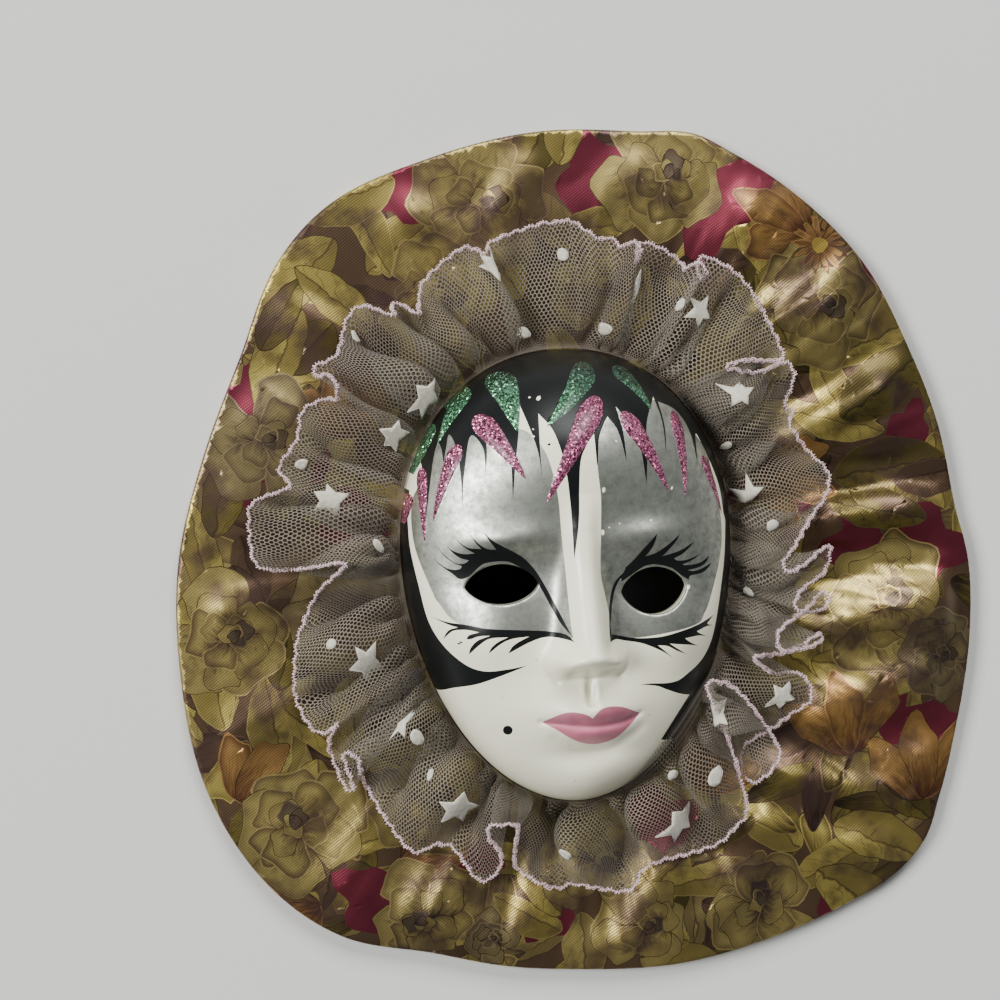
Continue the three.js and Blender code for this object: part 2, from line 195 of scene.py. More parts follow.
def eye_loop(eye, grow=0):
    """Outline of an eye opening, grown outwards."""
    (cu, cv), half, upper, lower = eye
    loop = []
    for angle in np.arange(EYE_STEPS) * 2 * math.pi / EYE_STEPS:
        c, s = math.cos(angle), math.sin(angle)
        lift = (upper if s > 0 else lower) * math.copysign(abs(s) ** LID_ROUNDNESS, s)
        loop.append((cu + half * c, cv + lift))
    loop = np.array(loop)
    if grow:
        side = np.roll(loop, -1, axis=0) - np.roll(loop, 1, axis=0)
        loop += grow * np.stack([side[:, 1], -side[:, 0]], axis=1) / np.linalg.norm(side, axis=1)[:, None]
    return loop


def spline(a, b, c, d, t):
    """The smooth curve through a, b, c and d, between b and c."""
    bend = (2 * a - 5 * b + 4 * c - d) * t**2 + (3 * b - a - 3 * c + d) * t**3
    return (2 * b + (c - a) * t + bend) / 2


def smooth_side(points, step):
    """A smooth curve through points, sampled about every step."""
    points = [np.array(p, float) for p in points]
    if len(points) == 2:
        return [points[0] + (points[1] - points[0]) * t for t in (0, 0.5, 1)]
    ends = [2 * points[0] - points[1], *points, 2 * points[-1] - points[-2]]
    made = [points[0]]
    for a, b, c, d in zip(ends, ends[1:], ends[2:], ends[3:]):
        count = max(2, int(np.linalg.norm(c - b) / step))
        made += [spline(a, b, c, d, t) for t in np.arange(1, count + 1) / count]
    return made


def painted_edge(*sides):
    """A closed outline from smooth sides that meet in sharp corners; each side starts where the last ends."""
    outline = []
    for side in sides:
        start = [outline[-1]] if outline else []
        outline += smooth_side([*start, *side], PAINT_STEP)[1 if start else 0 :]
    return np.array(outline)


def drop(head, tip, width, bend):
    """A drop of glue: round at its head, with a long tail."""
    head, tip = np.array(head, float), np.array(tip, float)
    along = tip - head
    across = np.array([-along[1], along[0]]) / np.linalg.norm(along)
    t = np.linspace(0, 1, DROP_STEPS)[:, None] ** 1.5
    middle = head + along * t + across * bend * 4 * t * (1 - t)
    belly = 0.2
    front = np.sqrt(np.clip(1 - (1 - t / belly) ** 2, 0, 1))
    tail = np.clip((1 - t) / (1 - belly), 0, 1) ** 0.8
    half = width / 2 * np.where(t < belly, front, tail)
    return np.concatenate([middle + across * half, (middle - across * half)[-2:0:-1]])


def inside(points, outline):
    """Which points lie inside a closed outline."""
    found = np.zeros(len(points), bool)
    box = (points >= outline.min(axis=0)).all(axis=1) & (points <= outline.max(axis=0)).all(axis=1)
    x, y = points[box, 0], points[box, 1]
    crossed = np.zeros(len(x), bool)
    for (ax, ay), (bx, by) in zip(outline, np.roll(outline, -1, axis=0)):
        if ay != by:
            crossed ^= ((ay > y) != (by > y)) & (x < (bx - ax) * (y - ay) / (by - ay) + ax)
    found[box] = crossed
    return found


def distance_to(points, outline, closed=True):
    """Distance from each point to an outline."""
    ends = np.roll(outline, -1, axis=0) if closed else outline[1:]
    nearest = np.full(len(points), 1e9)
    for a, b in zip(outline, ends):
        side = b - a
        t = np.clip(((points - a) @ side) / max(side @ side, 1e-12), 0, 1)
        nearest = np.minimum(nearest, np.linalg.norm(points - a - t[:, None] * side, axis=1))
    return nearest


def cut_sheet(bounds, holes, shapes, pitch):
    """A flat sheet of triangles inside bounds and outside holes, with an edge along each shape's outline.
    Gives its points, its triangles and each triangle's topmost shape, or -1."""
    (x0, y0), (x1, y1) = bounds.min(axis=0), bounds.max(axis=0)
    row_pitch = pitch * ROW_SHARE
    rows = int((y1 - y0) / row_pitch) + 1
    columns = int((x1 - x0) / pitch) + 1
    j, i = np.divmod(np.arange(rows * columns), columns)
    grid = np.column_stack([x0 + pitch * (i + 0.5 * (j % 2)), y0 + row_pitch * j])
    loops = [bounds, *holes, *shapes]
    middles = [loop + (np.roll(loop, -1, axis=0) - loop) * 0.5 for loop in loops]
    on_edges = np.concatenate([*loops, *middles])
    near = KDTree(len(on_edges))
    for index, point in enumerate(on_edges):
        near.insert((*point, 0), index)
    near.balance()
    grid = grid[inside(grid, bounds)]
    points = [point for point in grid if near.find((*point, 0))[2] > EDGE_GAP * pitch]
    edges = []
    for loop in loops:
        start = len(points)
        points += list(loop)
        edges += [(start + i, start + (i + 1) % len(loop)) for i in range(len(loop))]
    made = delaunay_2d_cdt([Vector(p) for p in points], edges, [], 0, 1e-5)
    points, triangles = np.array([tuple(p) for p in made[0]]), np.array(made[2])
    centres = points[triangles].mean(axis=1)
    keep = inside(centres, bounds)
    for hole in holes:
        keep &= ~inside(centres, hole)
    triangles, centres = triangles[keep], centres[keep]
    top = np.full(len(triangles), -1)
    for index, shape in enumerate(shapes):
        top[inside(centres, shape)] = index
    used = np.unique(triangles)
    renumber = np.full(len(points), -1)
    renumber[used] = np.arange(len(used))
    return points[used], renumber[triangles], top


def border_loops(triangles):
    """The closed loops of edges that only one triangle has."""
    sides = np.concatenate([triangles[:, [0, 1]], triangles[:, [1, 2]], triangles[:, [2, 0]]])
    key = np.sort(sides, axis=1)
    _, first, count = np.unique(key, axis=0, return_index=True, return_counts=True)
    follow = {int(a): int(b) for a, b in sides[first[count == 1]]}
    loops = []
    while follow:
        start, point = follow.popitem()
        loop = [start]
        while point != start:
            loop.append(point)
            point = follow.pop(point)
        loops.append(loop)
    return loops


def zipped(first, second, place, centre):
    """Triangles between two loops of vertices that both run round a centre."""

    def ordered(loop):
        """The loop from its smallest angle round the centre on, and its angles with one turn added."""
        angle = np.arctan2(*(place[loop] - centre).T[::-1]) % (2 * math.pi)
        start = np.argsort(angle)
        return [loop[i] for i in start], [*angle[start], angle[start[0]] + 2 * math.pi]

    (a, a_angle), (b, b_angle) = ordered(first), ordered(second)
    faces, i, j = [], 0, 0
    while i < len(a) or j < len(b):
        if j == len(b) or (i < len(a) and a_angle[i + 1] <= b_angle[j + 1]):
            faces.append((a[i], a[(i + 1) % len(a)], b[j % len(b)]))
            i += 1
        else:
            faces.append((a[i % len(a)], b[(j + 1) % len(b)], b[j]))
            j += 1
    return faces


WHITE, SILVER, BLACK, ROSE, UPPER_LIP_SHADE, PINK_GLITTER, GREEN_GLITTER = range(7)

cap = painted_edge(
    [(-40.1, 14.3), (-38.9, 20.0), (-36.9, 23.0), (-36.6, 14.0), (-36.8, 9.6)],
    [(-35.4, 17.5), (-34.0, 24.0), (-32.7, 27.6), (-32.1, 26.5), (-31.9, 22.9)],
    [(-31.0, 26.3), (-29.9, 29.7), (-28.6, 25.7), (-28.3, 19.0), (-28.4, 12.2)],
    [(-27.5, 19.8), (-25.3, 29.1), (-22.7, 26.4), (-22.5, 20.6)],
    [(-21.9, 24.3), (-21.1, 33.3), (-18.1, 30.0), (-16.6, 24.7), (-16.5, 13.6)],
    [(-15.5, 21.8), (-14.2, 29.0), (-13.0, 36.2)],
    [(-11.3, 30.3), (-9.9, 24.5), (-9.4, 18.9)],
    [(-9.4, 26.1), (-8.9, 34.0)],
    [(-5.9, 29.7), (-3.9, 22.1), (-2.8, 12.0), (-2.5, -1.5)],
    [(-0.9, 8.7), (-0.1, 21.0), (1.6, 25.5), (3.9, 28.5)],
    [(4.1, 20.8), (5.0, 27.1), (6.6, 30.5), (7.9, 32.4)],
    [(10.1, 28.6), (11.6, 21.2)],
    [(11.4, 27.9), (10.9, 31.5), (10.4, 34.6)],
    [(13.4, 30.3), (15.2, 26.3), (16.5, 15.5)],
    [(17.0, 21.1), (17.9, 30.0), (21.1, 36.4)],
    [(22.3, 30.1), (22.2, 21.9)],
    [(22.8, 28.9), (22.2, 35.2)],
    [(27.0, 32.7), (30.1, 27.4), (31.1, 19.4)],
    [(31.9, 26.4), (33.5, 24.0), (36.0, 18.0), (37.7, 12.6), (38.4, 5.9)],
    [(60, 5.9), (60, 62), (-60, 62), (-60, 14.3)],
)
silver_left = painted_edge(
    [(-9.2, 26.6), (-7.5, 22.6), (-5.7, 13.7), (-5.1, 4.1), (-4.5, -4.8), (-4.4, -16.4), (-4.2, -20.3)],
    [(-17.2, -18.6), (-30.3, -16.4), (-34.8, -11.6), (-36.3, -8.7), (-39.4, 0.8), (-40.1, 7.9),
     (-39.4, 14.0), (-37.3, 18.7), (-35.0, 27.5), (-31.8, 34.3), (-24.7, 35.7), (-22.0, 32.9)],
    [(-20.4, 28.1), (-18.1, 25.0), (-15.7, 24.1)],
    [(-14.9, 30.1), (-12.5, 30.0), (-10.8, 28.6), (-9.2, 26.6)],
)
silver_right = painted_edge(
    [(7.8, 31.7), (4.8, 27.5), (4.2, 20.5), (4.8, 12.5), (4.5, 3.5), (4.0, -5.3), (4.7, -10.1),
     (5.6, -16.1), (5.5, -21.1)],
    [(12.1, -22.2), (21.2, -21.4), (28.9, -20.1), (30.8, -18.1), (32.6, -15.3), (35.6, -7.5), (37.2, -0.5),
     (37.3, 4.6), (36.8, 9.5), (36.2, 14.8), (35.3, 18.2), (35.5, 21.9)],
    [(32.5, 25.5), (28.8, 31.7), (25.6, 33.7), (21.2, 35.6), (15.0, 34.0), (10.6, 33.5), (7.8, 31.7)],
)
border_left = painted_edge(
    [(-40.8, 10.1), (-40.7, 1.8), (-39.2, -7.7), (-37.4, -16.2), (-34.3, -22.1), (-29.5, -26.7),
     (-25.1, -28.4), (-19.9, -28.1), (-14.6, -27.3)],
    [(-21.1, -29.7), (-26.8, -31.9), (-32.2, -33.4), (-36.0, -35.7)],
    [(-60, -36)],
    [(-60, 16), (-40.1, 14.6)],
    [(-40.8, 10.1)],
)
border_right = painted_edge(
    [(13.1, -34.0), (16.0, -34.1), (20.7, -34.6), (23.8, -34.3), (26.4, -32.9), (30.1, -30.4),
     (32.6, -27.2), (34.4, -22.6), (36.9, -10.9), (38.0, -4.6), (38.9, 4.3)],
    [(38.4, 6.5)],
    [(60, 6.5)],
    [(60, -62)],
    [(19.6, -50.0)],
    [(21.3, -47.3), (24.4, -42.8), (27.3, -39.0)],
    [(24.4, -38.1), (20.7, -36.4), (17.5, -34.9), (13.1, -34.0)],
)
lash_left = painted_edge(
    [(-30.5, -5.1), (-31.4, -4.2), (-34.0, -2.2), (-35.9, -0.2)],
    [(-34.2, -1.7), (-32.6, -2.8), (-30.9, -3.2), (-29.6, -3.0)],
    [(-29.2, -2.3), (-30.6, -1.7), (-32.5, -0.4), (-34.0, 1.4), (-35.0, 3.1)],
    [(-33.6, 1.1), (-32.0, -0.5), (-30.4, -1.6), (-28.6, -1.7), (-27.4, -0.9)],
    [(-29.2, -0.4), (-30.8, 0.7), (-32.4, 2.6)],
    [(-30.8, 1.4), (-28.6, 0.7), (-26.0, 0.8)],
    [(-27.4, 1.6), (-29.3, 3.2), (-30.8, 5.2)],
    [(-29.3, 3.5), (-27.4, 2.2), (-24.5, 1.9)],
    [(-25.7, 3.3), (-26.8, 5.1), (-27.7, 6.6)],
    [(-26.4, 4.7), (-24.8, 2.9), (-22.9, 1.8), (-21.0, 1.6)],
    [(-22.4, 3.6), (-23.5, 5.3), (-24.1, 6.5)],
    [(-23.0, 5.1), (-21.7, 3.8), (-19.8, 2.6), (-17.4, 1.2), (-14.8, -0.5), (-12.8, -2.5), (-10.7, -5.5),
     (-7.5, -12.0), (-4.4, -19.8)],
    [(-5.4, -18.6), (-6.9, -16.1), (-10.2, -9.0), (-11.7, -6.4)],
    [(-13.6, -4.5), (-17.0, -2.1), (-19.5, -1.5), (-23.1, -1.7), (-24.8, -2.5), (-27.3, -4.7),
     (-28.6, -5.4), (-29.8, -5.5), (-30.5, -5.1)],
)
lash_right = painted_edge(
    [(5.1, -22.1), (5.1, -19.4), (6.0, -13.3), (7.8, -8.5), (10.3, -6.0), (10.7, -4.9)],
    [(13.2, -2.7), (15.6, 0.1), (18.5, 3.3)],
    [(18.1, 1.5), (17.3, -0.5), (15.8, -2.4)],
    [(18.4, -1.7), (21.0, -0.2), (24.7, 2.6)],
    [(23.6, 0.8), (22.1, -0.9), (20.2, -2.7)],
    [(22.7, -2.2), (25.4, -1.4), (28.8, 0.4)],
    [(27.3, -1.2), (25.4, -2.6), (23.3, -3.5)],
    [(24.1, -4.1), (26.3, -4.2), (28.5, -3.7), (30.6, -2.8)],
    [(29.0, -4.0), (27.4, -4.7), (25.6, -5.2)],
    [(26.2, -5.5), (28.4, -5.5), (30.7, -5.1), (33.0, -3.8)],
    [(31.9, -5.5), (29.8, -6.4), (26.9, -6.8)],
    [(28.4, -7.2), (30.7, -6.8), (33.8, -5.6)],
    [(32.4, -7.0), (30.6, -7.9), (27.5, -8.3), (27.2, -9.3)],
    [(25.3, -8.0), (22.7, -5.9), (19.0, -4.7), (17.2, -4.6), (15.3, -5.0), (12.1, -6.9), (9.7, -8.3)],
    [(9.5, -7.4), (7.7, -10.5), (6.2, -16.0), (5.6, -18.8), (5.7, -20.5), (5.1, -22.1)],
)
lower_left = painted_edge(
    [(-36.9, -15.0), (-33.2, -16.1), (-29.0, -16.6), (-23.9, -17.6), (-17.0, -18.3), (-9.4, -19.1),
     (-5.4, -19.7), (-4.0, -21.2)],
    [(-5.0, -20.9), (-8.5, -20.5), (-11.2, -20.7), (-14.6, -21.8), (-17.2, -23.0), (-19.3, -24.0)],
    [(-18.4, -22.5), (-16.9, -21.4), (-14.0, -20.1)],
    [(-18.3, -20.4), (-21.1, -21.5), (-24.0, -23.8)],
    [(-23.3, -22.3), (-21.6, -20.9), (-19.2, -19.9)],
    [(-23.5, -20.0), (-26.0, -21.5), (-28.6, -24.1)],
    [(-28.1, -22.3), (-26.4, -20.4), (-23.5, -19.3)],
    [(-26.1, -19.4), (-28.0, -20.1), (-29.0, -20.2)],
    [(-28.5, -19.2), (-26.1, -18.4)],
    [(-28.4, -17.9), (-30.5, -17.9), (-32.3, -18.4), (-34.3, -20.6)],
    [(-33.5, -18.8), (-32.6, -17.9), (-30.9, -17.3)],
    [(-33.0, -16.7), (-36.9, -15.0)],
)
lower_right = painted_edge(
    [(5.1, -22.1), (5.9, -20.4)],
    [(8.0, -21.2), (12.4, -22.3), (18.3, -22.4), (24.1, -21.4), (29.5, -20.3), (34.1, -18.9)],
    [(32.5, -20.1), (31.8, -20.8), (33.8, -21.6)],
    [(31.5, -21.4), (28.5, -22.1)],
    [(28.9, -22.5), (31.6, -24.0)],
    [(28.9, -23.3), (25.0, -23.4)],
    [(26.5, -24.6), (29.1, -26.1)],
    [(26.5, -25.3), (20.9, -24.3)],
    [(23.1, -25.9), (25.6, -27.6)],
    [(22.8, -26.3), (20.4, -24.9), (17.9, -24.5)],
    [(19.9, -26.3), (22.0, -28.2)],
    [(18.8, -26.0), (14.2, -23.8), (9.4, -22.6), (7.0, -21.9), (5.1, -22.1)],
)
lip_top = (
    [(-11.6, -41.8), (-9.4, -40.5), (-7.3, -39.5), (-5.1, -39.0), (-3.0, -39.2), (-1.1, -39.8),
     (0.2, -40.8)],
    [(1.5, -39.2), (3.1, -38.4), (5.5, -38.3), (8.0, -38.8), (10.6, -40.0), (13.0, -41.3)],
)
lips = painted_edge(
    *lip_top,
    [(11.5, -42.8), (9.5, -44.7), (7.3, -46.6), (4.7, -47.9), (1.6, -48.4), (-1.5, -47.8), (-4.8, -46.1),
     (-7.9, -43.9), (-10.1, -42.6), (-11.6, -41.8)],
)
# The upper lip is the same lip paint as the lower, darkened with painted shade where the lip faces down.
shaded_upper_lip = painted_edge(
    *lip_top,
    [(10.7, -42.8), (8.1, -43.6), (3.9, -43.5), (0.7, -43.3), (-3.0, -42.9), (-7.2, -42.4), (-11.6, -41.8)],
)
GREEN_DROPS = [  # head, tip, width, bend
    ((-23.8, 40.8), (-32.9, 27.2), 3.2, -0.6),
    ((-17.0, 44.4), (-14.3, 29.8), 7.6, 0.3),
    ((5.9, 45.4), (-7.3, 30.8), 6.0, 0.5),
    ((12.1, 44.3), (20.1, 32.9), 4.0, 0.8),
    ((-32.7, 32.6), (-39.5, 18.4), 1.9, 0),
]
PINK_DROPS = [
    ((-23.6, 34.0), (-13.2, 18.4), 5.6, 0.3),
    ((6.4, 37.3), (-8.6, 12.2), 5.9, -0.5),
    ((-28.0, 27.3), (-35.3, 8.6), 3.4, -0.6),
    ((11.7, 33.3), (22.4, 12.9), 4.6, 0.7),
    ((26.0, 32.8), (26.7, 11.2), 3.3, 0.6),
    ((32.9, 21.1), (37.8, 5.8), 2.4, 0.3),
    ((-36.7, 21.8), (-37.4, 3.1), 2.3, -0.3),
    ((-39.8, 15.0), (-41.8, 6.6), 1.8, 0),
]
CHIPS = [  # middle, size and finish of chips, splashes and specks in the paint
    ((-8.3, 37.6), 0.55, WHITE), ((-10.4, 37.9), 0.25, WHITE), ((-10.8, 28.6), 0.35, WHITE),
    ((-10.6, 30.3), 0.2, WHITE), ((9.3, 26.4), 0.28, WHITE), ((5.5, 14.8), 0.55, WHITE),
    ((23.2, 14.0), 0.35, WHITE), ((17.2, 6.6), 0.28, WHITE), ((-27.6, 16.1), 0.35, WHITE),
    ((6.7, 5.5), 0.2, WHITE), ((9.3, 6.3), 0.2, WHITE), ((5.0, 4.4), 0.6, WHITE),
    ((26.9, -11.0), 0.5, WHITE), ((-7.2, 26.5), 0.35, BLACK), ((-30.8, -21.4), 0.3, BLACK),
    ((-30.3, -21.0), 0.3, BLACK),
]
SPOT, SPOT_HALF = np.array([-19.6, -44.0]), np.array([1.15, 1.25])
spot = SPOT + SPOT_HALF * rays(np.linspace(0, 2 * math.pi, 17)[:-1])

paint = [(SILVER, silver_left), (SILVER, silver_right)]
for outline in (cap, border_left, border_right, lash_left, lash_right, lower_left, lower_right, spot):
    paint.append((BLACK, outline))
paint += [(ROSE, lips), (UPPER_LIP_SHADE, shaded_upper_lip)]
glue = [(GREEN_GLITTER, drop(*values), values[2]) for values in GREEN_DROPS]
glue += [(PINK_GLITTER, drop(*values), values[2]) for values in PINK_DROPS]
paint += [(finish, outline) for finish, outline, _ in glue]
for index, (middle, size, finish) in enumerate(CHIPS):
    a = np.linspace(0, 2 * math.pi, 8)[:-1]
    reach = size * (1 + 0.3 * np.sin(2 * a + index))
    paint.append((finish, np.array(middle) + reach[:, None] * rays(a)))

# The face as one sheet with the paint's edges in it.
outer_edge = outline_loop(SKIRT_LEVEL, EDGE_STEPS)
lids = [eye_loop(eye) for eye in EYES]
lid_rings = [eye_loop(eye, grow) for eye in EYES for grow in LID_RINGS]
finishes = [WHITE] * len(lid_rings) + [finish for finish, _ in paint]
shapes = [*lid_rings, *[outline for _, outline in paint]]
flat, triangles, top = cut_sheet(outer_edge, lids, shapes, PAINT_PITCH)
slots = np.array([WHITE if index < 0 else finishes[index] for index in top])

height = face_height(flat[:, 0], flat[:, 1])
for lid in lids:
    gap = np.minimum(distance_to(flat, lid), LID_EDGE)
    height -= LID_EDGE - np.sqrt(np.maximum(LID_EDGE**2 - (LID_EDGE - gap) ** 2, 0))
for line, half, depth in CREASES:
    away = distance_to(flat, np.array(smooth_side(line, 1.0)), closed=False)
    height -= depth * np.exp(-((away / half) ** 2))
for _, outline, width in glue:
    among = np.where(inside(flat, outline))[0]
    if len(among):
        rim = distance_to(flat[among], outline)
        height[among] += GLUE_HEIGHT * np.clip(rim / (0.35 * width), 0, 1) ** 0.6

vertices = [np.column_stack([flat, height])]
faces = [triangles]
face_slots = [slots]
total = len(flat)

# The steep wall from the face's border down to the back edge.
*lid_loops, border = sorted(border_loops(triangles), key=len)
border = sorted(border, key=lambda i: math.atan2(flat[i, 1], flat[i, 0]))
drop_from = DOME * (1 - SKIRT_LEVEL**DOME_SIDE) ** (1 / DOME_TOP)
ring = flat[border] / outline_level(flat[border, 0], flat[border, 1])[:, None]
edge_of = {}
for (a, b, c), slot in zip(triangles, slots):
    for pair in ((a, b), (b, c), (c, a)):
        edge_of[pair] = slot
column_slots = [edge_of.get((border[i], border[(i + 1) % len(border)]), BLACK) for i in range(len(border))]
previous = list(border)
for row in range(1, SKIRT_ROWS + 1):
    low = drop_from * (1 - row / SKIRT_ROWS)
    level = (1 - (low / DOME) ** DOME_TOP) ** (1 / DOME_SIDE)
    points = ring * level
    z = face_height(points[:, 0], points[:, 1]) if row < SKIRT_ROWS else np.zeros(len(points))
    vertices.append(np.column_stack([points, z]))
    current = list(range(total, total + len(points)))
    total += len(points)
    strip = []
    for i in range(len(current)):
        k = (i + 1) % len(current)
        strip += [(previous[i], current[i], current[k]), (previous[i], current[k], previous[k])]
    faces.append(np.array(strip))
    face_slots.append(np.repeat(column_slots, 2))
    previous = current
back_edge = previous

# The inside of the shell, a smoother form one wall's thickness below, joined at the back edge and the eyes.
inner_edge = outline_loop(1, INNER_STEPS, WALL)
inner_eyes = [eye_loop(eye, INNER_EYE) for eye in EYES]
inner_rings = [outline_loop(level, INNER_STEPS, WALL) for level in (0.995, 0.985, 0.965, 0.93, 0.88)]
inner_flat, inner_triangles, _ = cut_sheet(inner_edge, inner_eyes, inner_rings, INNER_PITCH)
stretch = np.array([HALF_WIDTH / (HALF_WIDTH - WALL), BELOW_WIDEST / (BELOW_WIDEST - WALL)])
inner_z = np.maximum(face_height(*(inner_flat * stretch).T, INNER_DETAIL) - WALL, 0)
inner_loops = sorted(border_loops(inner_triangles), key=len)
*inner_lids, inner_border = [[i + total for i in loop] for loop in inner_loops]
vertices.append(np.column_stack([inner_flat, inner_z]))
faces.append(inner_triangles[:, ::-1] + total)
face_slots.append(np.full(len(inner_triangles), WHITE))
vertices = np.concatenate(vertices)
place = vertices[:, :2]


def around(loop, centre):
    """How far a loop's middle is from a centre."""
    return np.linalg.norm((place[loop].max(axis=0) + place[loop].min(axis=0)) / 2 - centre)


bridges = [(back_edge, inner_border, FACE_MIDDLE)]
for middle, *_ in EYES:
    nearest = [min(choice, key=lambda loop: around(loop, middle)) for choice in (lid_loops, inner_lids)]
    bridges.append((*nearest, middle))
for first, second, centre in bridges:
    strip = zipped(first, second, place, np.array(centre))
    faces.append(np.array(strip))
    face_slots.append(np.full(len(strip), WHITE))

c, s = math.cos(MASK_TILT), math.sin(MASK_TILT)
placed = np.column_stack(
    [
        MASK_CENTRE[0] + vertices[:, 0] * c - vertices[:, 1] * s,
        MASK_CENTRE[1] + vertices[:, 0] * s + vertices[:, 1] * c,
        MASK_BACK + vertices[:, 2],
    ]
)


def closed_piece(name, points, polygons, finishes, slots=None):
    """A mesh object from points in millimetres, with its faces turned outwards."""
    mesh = bpy.data.meshes.new(name)
    mesh.from_pydata((np.asarray(points) * MM).tolist(), [], polygons)
    for finish in finishes:
        mesh.materials.append(finish.material)
    if slots is not None:
        mesh.polygons.foreach_set("material_index", np.asarray(slots, dtype=np.int32))
    work = bmesh.new()
    work.from_mesh(mesh)
    bmesh.ops.recalc_face_normals(work, faces=work.faces)
    for face in work.faces:
        face.smooth = True
    work.to_mesh(mesh)
    work.free()
    return add_object(name, mesh)


def add_node(tree, kind, inputs=None, **settings):
    """Adds a node, its inputs given as values or as the sockets that feed them; gives its outputs."""
    made = tree.nodes.new(kind)
    for name, value in settings.items():
        setattr(made, name, value)
    for name, value in (inputs or {}).items():
        if isinstance(value, bpy.types.NodeSocket):
            tree.links.new(value, made.inputs[name])
        else:
            made.inputs[name].default_value = value
    return made.outputs


class Finish:
    """A material whose shader has the given values, with short ways to add the nodes that feed it."""

    def __init__(self, name, **values):
        self.material = bpy.data.materials.new(name)
        self.material.use_nodes = True
        self.tree = self.material.node_tree
        self.shader = self.tree.nodes["Principled BSDF"]
        for socket, value in values.items():
            self.shader.inputs[socket.replace("_", " ")].default_value = value

    def node(self, kind, inputs=None, **settings):
        return add_node(self.tree, "ShaderNode" + kind, inputs, **settings)

    def place(self):
        return self.node("TexCoord")["Object"]

    def noise(self, scale, detail=3.0, roughness=0.5, vector=None):
        vector = self.place() if vector is None else vector
        inputs = {"Vector": vector, "Scale": scale, "Detail": detail, "Roughness": roughness}
        return self.node("TexNoise", inputs)[0]

    def maths(self, operation, *values):
        return self.node("Math", dict(enumerate(values)), operation=operation)[0]

    def vectors(self, operation, *values, output="Vector"):
        return self.node("VectorMath", dict(enumerate(values)), operation=operation)[output]

    def mixed(self, fac, first, second, blend="MIX"):
        return self.node("MixRGB", {"Fac": fac, "Color1": first, "Color2": second}, blend_type=blend)[0]

    def ramp(self, value, *stops):
        """A colour ramp over a value; stops are (position, colour or grey)."""
        made = self.tree.nodes.new("ShaderNodeValToRGB")
        self.tree.links.new(value, made.inputs[0])
        elements = made.color_ramp.elements
        for index, (position, colour) in enumerate(stops):
            element = elements[index] if index < 2 else elements.new(position)
            element.position = position
            element.color = (*colour, 1) if isinstance(colour, tuple) else (colour, colour, colour, 1)
        return made.outputs[0]

    def feed(self, socket, value):
        self.tree.links.new(value, self.shader.inputs[socket])

    def colour(self, value, *stops):
        self.feed("Base Color", self.ramp(value, *stops))

    def bump(self, height, distance, strength):
        """Feeds a height to the shader's normal; the distance is in millimetres."""
        inputs = {"Height": height, "Distance": distance * MM, "Strength": strength}
        self.feed("Normal", self.node("Bump", inputs)[0])


glaze = Finish("white_glaze", Roughness=0.34, Coat_Weight=0.2, Coat_Roughness=0.2)
tone = glaze.ramp(glaze.noise(60), (0.35, (0.85, 0.83, 0.62)), (0.65, (0.91, 0.89, 0.69)))
cells = glaze.node("TexVoronoi", {"Vector": glaze.place(), "Scale": 210}, feature="F1")["Distance"]
specks = glaze.ramp(cells, (0.03, 0), (0.05, 1))
glaze.feed("Base Color", glaze.mixed(0.55, tone, specks, "MULTIPLY"))
glaze.bump(glaze.noise(500, 2), 0.03, 0.4)

silver = Finish("silver_paint", Metallic=0.95)
mottle = silver.noise(420, 5, 0.7)
silver.colour(mottle, (0.36, (0.275, 0.285, 0.25)), (0.64, (0.52, 0.54, 0.475)))
silver.feed("Roughness", silver.ramp(mottle, (0.3, 0.52), (0.7, 0.38)))
silver.bump(silver.noise(1100), 0.03, 0.7)

black = Finish("black_paint", Base_Color=(0.006, 0.007, 0.007, 1), Roughness=0.34, Specular_IOR_Level=0.2)
black.bump(black.noise(400), 0.04, 0.4)

rose = Finish("rose_lip_paint", Roughness=0.42, Coat_Weight=0.1)
rose.colour(rose.noise(220), (0.3, (0.45, 0.12, 0.18)), (0.7, (0.55, 0.165, 0.235)))

# The lip paint again, darker: painted shade for the upper lip, which faces down.
mauve = Finish("lip_paint_painted_shade", Roughness=0.42, Coat_Weight=0.1)
mauve.colour(mauve.noise(220), (0.3, (0.32, 0.10, 0.14)), (0.7, (0.42, 0.14, 0.19)))


def glitter(name, dark, light, fades=False):
    """Glitter in clear glue: flakes of 0.35 mm, each with its own tilt and brightness."""
    made = Finish(name, Metallic=0.75, Roughness=0.3, Coat_Weight=0.4, Coat_Roughness=0.3)
    flakes = made.node("TexVoronoi", {"Vector": made.place(), "Scale": 2900}, feature="F1")["Color"]
    lot = made.node("SeparateColor", {0: flakes})[0]
    flash = tuple(min(1, value * 2.6 + 0.1) for value in light)
    tone = made.ramp(lot, (0.1, dark), (0.55, light), (0.93, flash))
    if fades:  # the thick heads of these drops are dull, their tails bright
        rise = made.maths("MULTIPLY", made.node("SeparateXYZ", {0: made.place()})[1], 1 / MM)
        share = made.node("MapRange", {"Value": rise, "From Min": 36, "From Max": 49})[0]
        tone = made.mixed(1.0, tone, made.ramp(share, (0.1, 1.3), (0.9, (0.42, 0.36, 0.5))), "MULTIPLY")
    made.feed("Base Color", tone)
    tilt = made.vectors("SUBTRACT", flakes, (0.5, 0.5, 0.5))
    tilt = made.node("VectorMath", {0: tilt, "Scale": 1.5}, operation="SCALE")[0]
    turned = made.vectors("ADD", made.node("NewGeometry")["Normal"], tilt)
    made.feed("Normal", made.vectors("NORMALIZE", turned))
    return made


pink = glitter("pink_glitter", (0.07, 0.008, 0.025), (0.42, 0.10, 0.20))
green = glitter("green_glitter", (0.006, 0.022, 0.012), (0.06, 0.21, 0.10), fades=True)

mask = closed_piece(
    "painted_mask",
    placed,
    np.concatenate(faces).tolist(),
    [glaze, silver, black, rose, mauve, pink, green],
    np.concatenate(face_slots),
)
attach(mask, "root")
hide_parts("ceramic_mask")

